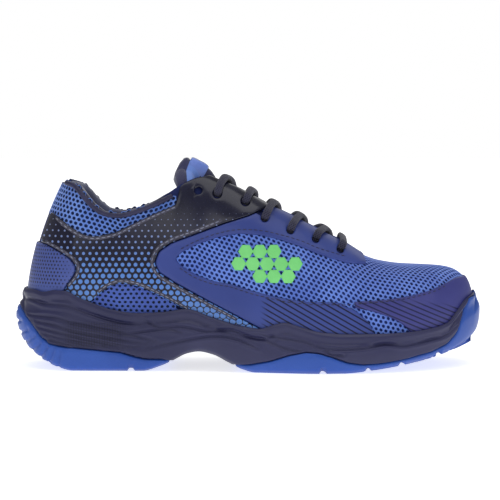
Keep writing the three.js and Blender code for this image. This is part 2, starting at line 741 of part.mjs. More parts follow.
// the plate slides in from the cavity through a slot at its heel end
function shankPocket() {
  const x0 = (SHANK_RUN[0] - 4) * GX;
  const x1 = SHANK_RUN[0] * GX + 1;
  const z0 = ((groundZ(SHANK_RUN[0]) + featherZ(SHANK_RUN[0])) / 2) * GZ - 1;
  return shankBody(GAP).add(block(x0, x1, -12 * GY, 12 * GY, z0, 60 * GZ));
}

function midsole() {
  const zones = sidePrism(heelRubberArea, { grow: GAP }).add(sidePrism(foreRubberArea, { grow: GAP }));
  const body = sole.subtract(zones).add(sole.intersect(soleForm(RUBBER + GAP)));
  const pockets = cushionPocket(HEEL_DISC).add(cushionPocket(FORE_DISC)).add(shankPocket());
  return body.subtract(room).subtract(pockets);
}

// plate that follows the feather line, inside the upper, with its edge lifted or flat
function footPlate(low, high, inset, count, edgeLift = 0) {
  const point = (side, u, share, rise) => {
    const rim = last(side * u, 0);
    const spineX = Math.min(Math.max(stationX(u), HEEL_X + 36), TOE_X - 50);
    const spine = new THREE.Vector3(spineX * GX, centre(spineX) * GY, featherZ(spineX) * GZ);
    const flat = new THREE.Vector3(rim.x - spine.x, rim.y - spine.y, 0);
    const keep = flat.length() - inset;
    const p = spine.clone().addScaledVector(flat.normalize(), keep * share);
    p.z += (rim.z - spine.z) * share + rise;
    return p;
  };
  const shares = edgeLift ? [1, 0.72, 0] : [1, 0];
  const across = [...shares.map((s) => [-1, s]), ...[...shares].reverse().slice(1).map((s) => [1, s])];
  const top = [];
  const bottom = [];
  for (let i = 0; i <= count; i += 1) {
    for (const [side, share] of across) {
      top.push(point(side, i / count, share, high + (share === 1 ? edgeLift : 0)));
      bottom.push(point(side, i / count, share, low));
    }
  }
  return skin(top, bottom, netQuads(count + 1, across.length));
}

const BOARD_BASE = GAP;
const SOCK_BASE = BOARD_BASE + BOARD + 2 * GAP;
const SOCK_EDGE = 6.4;
const board = () => footPlate(BOARD_BASE, BOARD_BASE + BOARD, FABRIC + GAP, 20);
const sockliner = () => footPlate(SOCK_BASE, SOCK_BASE + SOCKLINER, SOCK_EDGE, 18, 2.5);

// ---------------------------------------------------------------- tongue
const TONGUE_FRONT = 62;
const TONGUE_END = -42;
const TONGUE_STATIONS = 11;
const LACE_ROOM = UNDER - LACE - 2.4;
const tongueRoom = through(
  [-42, UNDER - 4 * GAP], [-34, UNDER - 4 * GAP], [-28, LACE_ROOM], [70, LACE_ROOM],
);
const tongueRise = through([-42, 3], [-30, 2.6], [-24, 0.5], [-16, LACE_ROOM], [70, LACE_ROOM]);
const tonguePad = through([-42, TONGUE_TOP_PAD], [-26, TONGUE_TOP_PAD], [-8, TONGUE_PAD], [62, TONGUE_PAD]);
const tongueFoot = through([-42, 0.67], [-20, 0.6], [20, 0.62], [62, 0.7]);

function tongueSheet(from, to, thick) {
  const outer = [];
  const inner = [];
  const across = 4;
  for (let i = 0; i <= TONGUE_STATIONS; i += 1) {
    const x = TONGUE_END + ((TONGUE_FRONT - TONGUE_END) * i) / TONGUE_STATIONS;
    const u = stationOf(x);
    const ridge = offLast(u, 1, 1).sub(last(u, 1));
    for (let j = -across; j <= across; j += 1) {
      const side = j < 0 ? -1 : 1;
      const away = Math.abs(j) / across;
      const v = 1 - (1 - tongueFoot(x)) * away;
      const fromCentre = Math.abs(last(side * u, v).y / GY - centre(x));
      const settle = 1 - THREE.MathUtils.smoothstep(fromCentre, THROAT * 0.28, THROAT * 0.46);
      const top = tongueRoom(x) + (tongueRise(x) - tongueRoom(x)) * settle;
      const face = offLast(side * u, v, top);
      const depth = thick(x, away);
      outer.push(face.clone().addScaledVector(ridge, -from(depth)));
      inner.push(face.clone().addScaledVector(ridge, -to(depth)));
    }
  }
  return skin(outer, inner, netQuads(TONGUE_STATIONS + 1, 2 * across + 1));
}

const edgeThin = (x, away) => tonguePad(x) * (1 - 0.55 * away ** 3);
const tongue = () => tongueSheet(() => 0, (depth) => depth, edgeThin);
const tongueLining = () => tongueSheet((d) => d + GAP, (d) => d + GAP + TONGUE_SKIN, edgeThin);

function tongueBadge() {
  const outer = [];
  const inner = [];
  const across = 2;
  const columns = 5;
  for (let i = 0; i <= columns; i += 1) {
    const x = -40 + (14 * i) / columns;
    for (let j = -across; j <= across; j += 1) {
      const v = 1 - (0.09 * Math.abs(j)) / across;
      const side = j < 0 ? -1 : 1;
      outer.push(offLast(side * stationOf(x), v, tongueRise(x) + 2.2));
      inner.push(offLast(side * stationOf(x), v, tongueRise(x) + 0.9));
    }
  }
  return skin(outer, inner, netQuads(columns + 1, 2 * across + 1));
}

// ---------------------------------------------------------------- lace
// Straight bar over the front pair, then each strand runs under its own edge, across the
// tongue, over the other edge and down into the next eyelet.
class Route extends THREE.CatmullRomCurve3 {
  getUtoTmapping(u) {
    return u;
  }
}

const OVER_HEIGHT = OVER[1] + GAP + LACE / 2 + 0.4;
const UNDER_HEIGHT = UNDER - LACE / 2 - 0.4;
const turnMiddle = (OVER_HEIGHT + UNDER_HEIGHT) / 2;
const turnRadius = (OVER_HEIGHT - UNDER_HEIGHT) / 2;

const onEyelet = (side, k, offset, shift = 0) => {
  const [u, v] = onLast(...EYELETS[k]);
  const p = offLast(side * u, v, offset);
  const up = outward(side * u, v);
  const inwards = new THREE.Vector3(0, -side, 0);
  inwards.addScaledVector(up, -inwards.dot(up)).normalize();
  return p.addScaledVector(inwards, shift);
};

// point of the last above or below a place in plan, in millimetres
function onPlan(x, y, offset) {
  const px = x / GX;
  const side = y / GY < centre(px) ? -1 : 1;
  const reach = side < 0 ? halfLateral(px) : halfMedial(px);
  const share = Math.min(Math.abs(y / GY - centre(px)) / reach, 1);
  const v = (Math.acos(share ** (1 / sideBulge(px))) * 2) / Math.PI;
  return offLast(side * stationOf(px), v, offset);
}

// half turn round the edge strip at an eyelet, from above to below
function halfTurn(side, k) {
  const angles = [90, 50, 10, -30, -65, -90].map(THREE.MathUtils.degToRad);
  return angles.map((a) => {
    const offset = turnMiddle + turnRadius * Math.sin(a);
    return onEyelet(side, k, offset, 1 - turnRadius * Math.cos(a) * 0.48);
  });
}

// down through the last eyelet and out under the quarter
function dive(side, k) {
  const steps = [
    [OVER_HEIGHT, 3], [OVER_HEIGHT - 0.6, 1], [turnMiddle, 0], [UNDER_HEIGHT + 0.6, -1],
    [UNDER_HEIGHT, -2.8],
  ];
  return steps.map(([offset, shift]) => onEyelet(side, k, offset, shift));
}

function crossing(fromSide, k, high) {
  const start = onEyelet(fromSide, k, 0);
  const end = onEyelet(-fromSide, k + 1, 0);
  const edge = (THROAT / 2) * GY;
  const middle = start.clone().lerp(end, 0.5);
  const along = (share) => start.clone().lerp(end, share);
  const shareAt = (y) => (y - start.y) / (end.y - start.y);
  const mid = centre(middle.x / GX) * GY;
  const exit = shareAt(mid + fromSide * (edge - 3));
  const enter = shareAt(mid - fromSide * (edge - 2.5));
  const lift = high ? LACE / 2 + 0.35 : -LACE / 2 - 0.35;
  const stops = [[exit * 0.55, UNDER_HEIGHT], [exit, UNDER_HEIGHT + 0.3], [(exit + enter) / 2, lift],
    [enter, OVER_HEIGHT - 0.2], [enter + (1 - enter) * 0.45, OVER_HEIGHT]];
  return stops.map(([share, offset]) => onPlan(along(share).x, along(share).y, offset));
}

function strand(firstSide, high) {
  const points = [];
  let side = firstSide;
  for (let k = 0; k < 5; k += 1) {
    points.push(...crossing(side, k, high !== (k % 2 === 1)));
    side = -side;
    points.push(...(k < 4 ? halfTurn(side, k + 1) : dive(side, k + 1)));
  }
  return points;
}

// loose end, tucked inside the shoe beside the tongue and laid along the sockliner
function tail(side) {
  const [u, v] = onLast(...EYELETS[5]);
  const from = dive(side, 5).pop();
  const under = [[0.86, -0.4], [0.74, -1], [0.64, -2.4]].map(([share, drop]) => (
    offLast(side * (u - 0.006), v * share, UNDER_HEIGHT + drop)
  ));
  const start = from.clone().addScaledVector(under[0].clone().sub(from).normalize(), 2 * GAP);
  const rest = featherZ(0) + SOCK_BASE + SOCKLINER + 6;
  const places = [
    [-30, 21, 62], [-34, 18, 50], [-30, 14, rest + 9],
    [-18, 12, rest + 6], [-2, 13, rest + 3], [16, 15, rest + 1.5], [34, 18, rest + 1], [50, 19, rest + 1],
    [64, 15, rest + 1], [68, 8, rest + 1], [62, 3.4, rest + 1], [48, 3.2, rest + 1], [32, 4, rest + 1],
    [16, 4.4, rest + 2], [4, 4, rest + 3.5],
  ];
  const inside = places.map(([x, y, z]) => new THREE.Vector3(x * GX, (side * y + centre(x)) * GY, z * GZ));
  return [start, ...under, ...inside];
}

function cord(points, steps = points.length - 1) {
  const section = new THREE.Shape();
  section.absarc(0, 0, LACE / 2, 0, Math.PI * 2);
  const outline = new THREE.Shape(section.getPoints(2).slice(0, 8));
  const path = new Route(points, false, 'centripetal');
  return toSolid(new THREE.ExtrudeGeometry(outline, { steps, extrudePath: path, bevelEnabled: false }));
}

function lacing() {
  const lateral = strand(-1, true);
  const medial = strand(1, false);
  const a = onEyelet(-1, 0, 0);
  const b = onEyelet(1, 0, 0);
  const bar = [0.12, 0.3, 0.5, 0.7, 0.88].map((share) => {
    const p = a.clone().lerp(b, share);
    return onPlan(p.x, p.y, OVER_HEIGHT);
  });
  return [...lateral.reverse(), ...halfTurn(-1, 0).reverse(), ...bar, ...halfTurn(1, 0), ...medial];
}

function aglet(side) {
  const path = tail(side);
  const end = path[path.length - 1];
  const before = path[path.length - 2];
  const direction = end.clone().sub(before).normalize();
  const tube = new THREE.CylinderGeometry(LACE / 2, LACE / 2, 20, 10);
  tube.applyQuaternion(new THREE.Quaternion().setFromUnitVectors(new THREE.Vector3(0, 1, 0), direction));
  const at = end.clone().addScaledVector(direction, 10 + GAP);
  tube.translate(at.x, at.y, at.z);
  return toSolid(tube);
}

// ---------------------------------------------------------------- finishes
const finish = (color, roughness, metalness = 0) => (
  new THREE.MeshStandardMaterial({ color, roughness, metalness })
);
const FINISH = {
  rubber: finish(0x3557a4, 0.55),
  midsole: finish(0x2b2c4c, 0.5),
  foam: finish(0x3a3f5c, 0.8),
  board: finish(0xcfcac0, 0.9),
  mesh: finish(0x4a6fc6, 0.85),
  collar: finish(0x5579d0, 0.85),
  film: finish(0x14163a, 0.25),
  saddle: finish(0x333f8c, 0.6),
  heel: finish(0x46589c, 0.5),
  cap: finish(0x333775, 0.55),
  window: finish(0x3d4e8c, 0.8),
  print: finish(0x7fd682, 0.5),
  lining: finish(0x4c5074, 0.9),
  lace: finish(0x24233c, 0.85),
  plate: finish(0x22242c, 0.4),
  tip: finish(0x9aa0ac, 0.35),
};

const shoe = new THREE.Group();
function add(name, solid, material) {
  const mesh = new THREE.Mesh(toGeometry(solid), FINISH[material]);
  mesh.name = name;
  shoe.add(mesh);
}

add('outsole_heel', outsole(heelRubberArea, HEEL_GROOVES), 'rubber');
add('outsole_forefoot', outsole(foreRubberArea, FORE_GROOVES), 'rubber');
add('midsole', midsole(), 'midsole');
add('heel_cushion', cushion(HEEL_DISC), 'foam');
add('forefoot_cushion', cushion(FORE_DISC), 'foam');
add('shank_plate', shankBody(0), 'plate');
add('lasting_board', board(), 'board');
add('sockliner', sockliner(), 'foam');
add('vamp', vamp(), 'mesh');
add('collar_mesh', collarMesh(), 'collar');
add('topline_binding', toplineBinding(), 'lining');
add('collar_pad', collarPad(), 'foam');
add('collar_lining', collarLining(), 'lining');
add('heel_panel', heelPanel(), 'heel');
add('toe_cap', toeCap(), 'cap');
add('heel_counter', heelCounter(), 'plate');
add('toe_puff', toePuff(), 'plate');
for (const side of ['lateral', 'medial']) {
  add(`quarter_${side}`, quarter(side), 'mesh');
  add(`strap_${side}`, strap(side), 'film');
  add(`rear_window_${side}`, rearWindow(side), 'window');
  add(`saddle_${side}`, saddle(side), 'saddle');
  add(`hex_print_${side}`, honeycomb(side), 'print');
  add(`quarter_lining_${side}`, quarterLining(side), 'lining');
}
add('tongue', tongue(), 'foam');
add('tongue_lining', tongueLining(), 'lining');
add('tongue_badge', tongueBadge(), 'print');
add('lace', cord(lacing()), 'lace');
add('lace_tail_lateral', cord(tail(-1), 36), 'lace');
add('lace_tail_medial', cord(tail(1), 36), 'lace');
add('aglet_lateral', aglet(-1), 'tip');
add('aglet_medial', aglet(1), 'tip');

export default shoe;
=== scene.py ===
# %% [markdown]
# # A court shoe, built the way a shoe is made
# A shoe is not carved. It is pulled over a foot form called a last, panel by panel, and then
# glued into a moulded sole. This lesson does the same with numpy: first the last is written
# as one function, then each panel is a piece cut out of that surface and given its thickness.
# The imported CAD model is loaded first. It stays as the fixed frame, so nothing here is fitted
# by eye: the new pieces use the same form and the same sizes.

# %% Frame and tools
import math

import bmesh
import bpy
import numpy as np
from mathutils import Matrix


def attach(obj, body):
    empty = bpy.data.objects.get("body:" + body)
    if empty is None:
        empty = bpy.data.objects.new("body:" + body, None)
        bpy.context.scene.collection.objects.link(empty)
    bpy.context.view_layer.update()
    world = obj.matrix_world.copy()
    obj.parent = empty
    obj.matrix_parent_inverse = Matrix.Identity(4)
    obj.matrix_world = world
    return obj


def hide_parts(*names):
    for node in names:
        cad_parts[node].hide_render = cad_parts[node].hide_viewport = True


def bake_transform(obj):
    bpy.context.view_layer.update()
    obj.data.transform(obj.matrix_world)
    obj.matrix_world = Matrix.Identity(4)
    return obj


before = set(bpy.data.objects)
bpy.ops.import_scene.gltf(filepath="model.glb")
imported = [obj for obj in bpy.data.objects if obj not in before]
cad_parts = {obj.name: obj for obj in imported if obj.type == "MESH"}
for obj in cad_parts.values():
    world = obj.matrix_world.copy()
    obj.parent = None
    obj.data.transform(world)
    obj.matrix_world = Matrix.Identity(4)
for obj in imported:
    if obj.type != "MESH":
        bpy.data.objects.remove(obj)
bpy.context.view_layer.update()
MM = 0.001

# %% [markdown]
# ## Smooth curves from a few sizes
# Shoe patterns are drawn from a few measured stations. Between two stations the curve must
# never swing past them, so each slope is the harmonic mean of its two neighbours' slopes,
# and the curve is the cubic that has those slopes. All stations are evaluated as one array.


# %% Curve through stations
def through(*pairs):
    """Cubic with harmonic-mean slopes: f = h00*y0 + h01*y1 + h*(h10*m0 + h11*m1)."""
    x, y = np.array(pairs, float).T
    rise = np.diff(y) / np.diff(x)
    slope = np.concatenate([rise[:1], np.zeros(len(x) - 2), rise[-1:]])
    same = rise[:-1] * rise[1:] > 0
    total = np.where(same, rise[:-1] + rise[1:], 1)
    slope[1:-1] = np.where(same, 2 * rise[:-1] * rise[1:] / total, 0)

    def value(at):
        at = np.clip(np.asarray(at, float), x[0], x[-1])
        i = np.clip(np.searchsorted(x, at, side="right") - 1, 0, len(x) - 2)
        h = x[i + 1] - x[i]
        t = (at - x[i]) / h
        s = 1 - t
        flat = s * s * (1 + 2 * t) * y[i] + t * t * (3 - 2 * t) * y[i + 1]
        return flat + t * s * h * (s * slope[i] - t * slope[i + 1])

    return value


def unit(a):
    """Every vector of the array divided by its own length."""
    return a / np.maximum(np.linalg.norm(a, axis=-1, keepdims=True), 1e-12)


# %% [markdown]
# ## The last
# The last is the foot form under every panel. Each cross-section runs from the feather line,
# where the upper meets the sole, up to the ridge on the centre line, as a quarter of a
# superellipse. The sizes are the CAD model's own, in millimetres.

# %% The last as one function
HEEL_X, TOE_X = -140, 142
HEEL_ROUND, TOE_ROUND = 34, 56
THROAT = 25
centre = through((-140, -1.5), (-70, -1.5), (-30, -1.2), (10, -0.8), (45, 0.6), (75, 2.8), (105, 5.5),
                 (147, 9))
half_lateral = through((-140, 30), (-100, 33), (-70, 32), (-30, 34), (10, 42), (45, 47), (75, 47),
                       (105, 43), (142, 36))
half_medial = through((-140, 30), (-100, 33), (-70, 32), (-30, 31), (10, 38), (45, 44.5), (75, 45.4),
                      (105, 42.6), (142, 36))
feather_z = through((-140, 30), (-100, 29), (-70, 27), (-30, 24), (10, 18), (45, 16), (75, 16),
                    (105, 17.5), (142, 21))
ridge_x = through((-140, -75), (-70, -62), (-45, -45), (0, 0), (60, 60), (85, 81), (105, 92), (142, 105))
ridge_z = through(
    (-140, 200), (-75, 188), (-60, 152), (-45, 132), (-34, 126), (-25, 121.5), (-16, 117.5),
    (-9, 114.5), (0, 109.5), (15, 101), (24, 96.5), (33, 92), (39, 88.5), (47, 84.5), (57, 79),
    (64, 74.5), (72, 69.5),
    (82, 65.8), (95, 63.5), (142, 61.5))
side_bulge = through((-140, 2.4), (-125, 1.8), (-105, 1.3), (-80, 1), (-60, 0.75), (-45, 0.62),
                     (-20, 0.68), (10, 0.72), (45, 0.75), (75, 0.72), (105, 0.65), (142, 0.5))
top_bulge = through((-60, 1), (-45, 0.95), (-20, 0.88), (10, 0.8), (45, 0.75), (75, 0.7), (105, 0.6),
                    (142, 0.5))
row_top = through((-80, 0.46), (-60, 0.6), (-45, 0.84), (-33, 1))


def round_end(d, reach):
    """Quarter circle that closes a width: sqrt(1 - (1 - d/reach)^2), and 1 past the reach."""
    return np.sqrt(np.clip(1 - np.clip(1 - d / reach, 0, 1) ** 2, 0, 1))


def station_x(u):
    """Stations crowd at heel and toe: x = heel + length * (1 - cos(pi*u)) / 2."""
    return HEEL_X + (TOE_X - HEEL_X) * (1 - np.cos(np.pi * u)) / 2


def station_of(x):
    return np.arccos(1 - 2 * (np.clip(x, HEEL_X, TOE_X) - HEEL_X) / (TOE_X - HEEL_X)) / np.pi


def last(w, v):
    """Superellipse section: inward = 1 - cos(phi)^a, upward = sin(phi)^b, phi = v * 90 degrees.
    w runs from the heel (0) to the toe (-1 outer side, 1 inner side)."""
    w, v = np.broadcast_arrays(np.asarray(w, float), np.asarray(v, float))
    w = np.where(w > 1, w - 2, np.where(w < -1, w + 2, w))
    side = np.where(w < 0, -1.0, 1.0)
    x = station_x(np.abs(w))
    half = np.where(side < 0, half_lateral(x), half_medial(x))
    y = centre(x) + side * half * round_end(x - HEEL_X, HEEL_ROUND) * round_end(TOE_X - x, TOE_ROUND)
    phi = np.clip(v, 0, 1) * np.pi / 2
    inward = 1 - np.maximum(np.cos(phi), 0) ** side_bulge(x)
    upward = np.sin(phi) ** top_bulge(x)
    rx = ridge_x(x)
    z = feather_z(x) + upward * (ridge_z(rx) - feather_z(x))
    return np.stack([x + inward * (rx - x), y + inward * (centre(rx) - y), z], -1)


def outward(w, v):
    """Normal of the last: slope up the section crossed with slope along it, made unit length."""
    h = 0.004
    at = np.clip(v, h, 1 - h)
    along = last(w + h, at) - last(w - h, at)
    up = last(w, at + h) - last(w, at - h)
    return unit(np.cross(up, along))


def off_last(w, v, offset):
    """Point of the last moved along its normal; on the ridge both sides share one normal."""
    w, v, offset = np.broadcast_arrays(np.asarray(w, float), np.asarray(v, float), np.asarray(offset, float))
    normal = outward(w, v)
    normal = np.where((v > 0.999)[..., None], unit(normal + outward(-w, v)), normal)
    return last(w, v) + normal * offset[..., None]


def on_side(x, z):
    """Station and height of the last that the side view shows at (x, z), by halving."""
    x, z = np.broadcast_arrays(np.asarray(x, float), np.asarray(z, float))
    low, high = np.zeros(x.shape), np.ones(x.shape)

    def height(u):
        sx = station_x(u)
        foot = feather_z(sx)
        share = np.clip((z - foot) / (ridge_z(ridge_x(sx)) - foot), 0, 1)
        return np.arcsin(share ** (1 / top_bulge(sx))) * 2 / np.pi

    for _ in range(36):
        u = (low + high) / 2
        less = last(u, height(u))[..., 0] < x
        low, high = np.where(less, u, low), np.where(less, high, u)
    return low, height(low)


def on_plan(x, y, offset):
    """Point of the last above a place (x, y) in plan."""
    x, y = np.asarray(x, float), np.asarray(y, float)
    side = np.where(y < centre(x), -1.0, 1.0)
    reach = np.where(side < 0, half_lateral(x), half_medial(x))
    share = np.clip(np.abs(y - centre(x)) / reach, 0, 1)
    return off_last(side * station_of(x), np.arccos(share ** (1 / side_bulge(x))) * 2 / np.pi, offset)


print("last: ridge at the instep", round(float(ridge_z(0)), 1), "mm")

# %% [markdown]
# ## From arrays to a mesh
# Every piece ends the same way: points in millimetres, faces as rows of indices, and a
# finish. Doubles are found by rounding all points at once, so seams and poles are closed.


# %% Mesh maker
def weld(points, faces, grid=2e-3):
    """Points that round to the same grid place become one; faces keep only distinct corners."""
    key = np.round(points / grid).astype(np.int64)
    _, first, back = np.unique(key, axis=0, return_index=True, return_inverse=True)
    return points[first], back.reshape(-1)[faces]


def tidy_faces(faces):
    """Quads with a doubled corner become triangles, and triangles with one are dropped."""
    out = []
    for row in faces.tolist():
        kept = [a for i, a in enumerate(row) if a != row[i - 1]]
        if len(set(kept)) == len(kept) and len(kept) > 2:
            out.append(kept)
    return out


def piece(name, points, faces, finishes, slots=None, smooth=True, join=True):
    """A mesh object at the origin, in metres, from points in millimetres."""
    points, faces = np.asarray(points, float), np.asarray(faces, int)
    if join:
        points, faces = weld(points, faces)
    whole = np.array([len(set(row)) == len(row) for row in faces.tolist()])
    rows = faces.tolist() if whole.all() else tidy_faces(faces)
    mesh = bpy.data.meshes.new(name)
    mesh.from_pydata((points * MM).tolist(), [], rows)
    for finish in finishes:
        mesh.materials.append(finish)
    if slots is not None and len(rows) == len(slots):
        mesh.polygons.foreach_set("material_index", np.asarray(slots, np.int32))
    mesh.polygons.foreach_set("use_smooth", np.full(len(rows), smooth))
    mesh.validate()
    mesh.update()
    thing = bpy.data.objects.new(name, mesh)
    bpy.context.scene.collection.objects.link(thing)
    print(f"{name}: {len(mesh.vertices)} points, {len(rows)} faces")
    return thing


def grid_faces(columns, rows, wrap_columns=False, wrap_rows=False):
    """Quads of a net of columns x rows points, closed round where asked."""
    i = np.arange(columns if wrap_columns else columns - 1)
    j = np.arange(rows if wrap_rows else rows - 1)
    i, j = np.meshgrid(i, j, indexing="ij")
    i2, j2 = (i + 1) % columns, (j + 1) % rows
    return np.stack([i * rows + j, i2 * rows + j, i2 * rows + j2, i * rows + j2], -1).reshape(-1, 4)


def carry(profile, path, across, up):
    """A closed profile (a, b) carried along a path: point = path + a*across + b*up.
    The two ends are closed by a fan to their middle."""
    ring = path[:, None] + profile[None, :, :1] * across[:, None] + profile[None, :, 1:] * up[:, None]
    n, m = ring.shape[:2]
    points = np.concatenate([ring.reshape(-1, 3), path[:1], path[-1:]])
    k = np.arange(m)
    k2 = (k + 1) % m
    start = np.stack([k2, k, np.full(m, n * m), np.full(m, n * m)], -1)
    base = (n - 1) * m
    end = np.stack([base + k, base + k2, np.full(m, n * m + 1), np.full(m, n * m + 1)], -1)
    return points, np.concatenate([grid_faces(n, m, wrap_rows=True)[:, ::-1], start, end])


def oval(width, height, count, square=2.0):
    """Flat oval: |x/a|^n + |y/b|^n = 1, as evenly turned points."""
    turn = np.arange(count) / count * 2 * np.pi
    c, s = np.cos(turn), np.sin(turn)
    power = 2 / square
    return np.stack([np.sign(c) * np.abs(c) ** power * width / 2,
                     np.sign(s) * np.abs(s) ** power * height / 2],
                    -1)


def smooth_path(points, per_span=6):
    """Centripetal curve through the points, the same number of steps in each span."""
    p = np.asarray(points, float)
    p = np.concatenate([2 * p[:1] - p[1:2], p, 2 * p[-1:] - p[-2:-1]])
    gap = np.sqrt(np.maximum(np.linalg.norm(np.diff(p, axis=0), axis=1), 1e-4))
    t = np.concatenate([[0], np.cumsum(gap)])
    p0, p1, p2, p3 = p[:-3], p[1:-2], p[2:-1], p[3:]
    t0, t1, t2, t3 = (t[k:len(t) - 3 + k][:, None, None] for k in range(4))
    at = t1 + (t2 - t1) * (np.arange(per_span) / per_span)[None, :, None]
    a1 = ((t1 - at) * p0[:, None] + (at - t0) * p1[:, None]) / (t1 - t0)
    a2 = ((t2 - at) * p1[:, None] + (at - t1) * p2[:, None]) / (t2 - t1)
    a3 = ((t3 - at) * p2[:, None] + (at - t2) * p3[:, None]) / (t3 - t2)
    b1 = ((t2 - at) * a1 + (at - t0) * a2) / (t2 - t0)
    b2 = ((t3 - at) * a2 + (at - t1) * a3) / (t3 - t1)
    curve = ((t2 - at) * b1 + (at - t1) * b2) / (t2 - t1)
    return np.concatenate([curve.reshape(-1, p.shape[1]), p[-2:-1]])


def even(path, step):
    """The same path as points an equal distance apart."""
    arc = np.concatenate([[0], np.cumsum(np.linalg.norm(np.diff(path, axis=0), axis=1))])
    at = np.linspace(0, arc[-1], max(int(round(arc[-1] / step)), 2) + 1)
    return np.stack([np.interp(at, arc, path[:, k]) for k in range(path.shape[1])], -1)


def length_of(path):
    return float(np.linalg.norm(np.diff(path, axis=0), axis=1).sum())

# %% [markdown]
# ## Camera, floor and light
# A product shot is taken with a long lens from the side, only a few degrees above the floor,
# against white. Large soft panels give the film its long highlights without hard shadows.

# %% Camera, floor and light
SIGHT = math.radians(3.4)
FRAME_WIDTH = 0.3172
LENS = 135
SENSOR = 36
distance = FRAME_WIDTH * LENS / SENSOR
aim = np.array([0.0006, 0.0, 0.0728])
lens = bpy.data.cameras.new("side_camera")
lens.lens = LENS
lens.sensor_width = SENSOR
lens.clip_end = 20
camera = bpy.data.objects.new("side_camera", lens)
camera.location = aim + distance * np.array([0, -math.cos(SIGHT), math.sin(SIGHT)])
camera.rotation_euler = (math.pi / 2 - SIGHT, 0, 0)
bpy.context.scene.collection.objects.link(camera)
bpy.context.scene.camera = camera


def area_light(name, place, target, size, power):
    """A soft panel that faces its target."""
    panel = bpy.data.lights.new(name, "AREA")
    panel.shape = "RECTANGLE"
    panel.size, panel.size_y = size
    panel.energy = power
    lamp = bpy.data.objects.new(name, panel)
    lamp.location = place
    away = np.array(place) - np.array(target)
    turn = math.atan2(away[0], -away[1])
    lamp.rotation_euler = (math.acos(away[2] / np.linalg.norm(away)), 0, turn)
    bpy.context.scene.collection.objects.link(lamp)


area_light("top_panel", (0.0, -0.25, 1.3), (0, 0, 0.05), (1.5, 1.0), 6.5)
area_light("front_panel", (-0.5, -1.5, 0.75), (0, 0, 0.06), (1.0, 0.8), 3.2)
area_light("toe_panel", (1.2, -0.7, 0.7), (0, 0, 0.06), (0.7, 0.7), 1.6)
area_light("back_panel", (0.1, 1.5, 0.9), (0, 0, 0.06), (1.6, 0.8), 3)
world = bpy.data.worlds.new("white_room")
world.use_nodes = True
sky = world.node_tree.nodes["Background"]
sky.inputs[0].default_value = (1, 1, 1, 1)
seen = world.node_tree.nodes.new("ShaderNodeLightPath").outputs["Is Camera Ray"]
lift = world.node_tree.nodes.new("ShaderNodeMath")
lift.operation = "MULTIPLY_ADD"
lift.inputs[1].default_value, lift.inputs[2].default_value = 0.70, 0.30
world.node_tree.links.new(seen, lift.inputs[0])
world.node_tree.links.new(lift.outputs[0], sky.inputs[1])
bpy.context.scene.world = world
bpy.context.scene.view_settings.view_transform = "Standard"
print("camera", [round(v, 3) for v in camera.location])

# %% [markdown]
# ## Mixing a finish
# Each finish is a small network: the colour is two tones mixed by a soft noise, the
# roughness wanders a little, and a fine bump gives the grain. Patterns such as printed dots
# or stripes add their own mask. The patterns read Object coordinates, so they stay on the
# shoe whichever way it is seen.


# %% Finish helpers
SHINE = 0.3


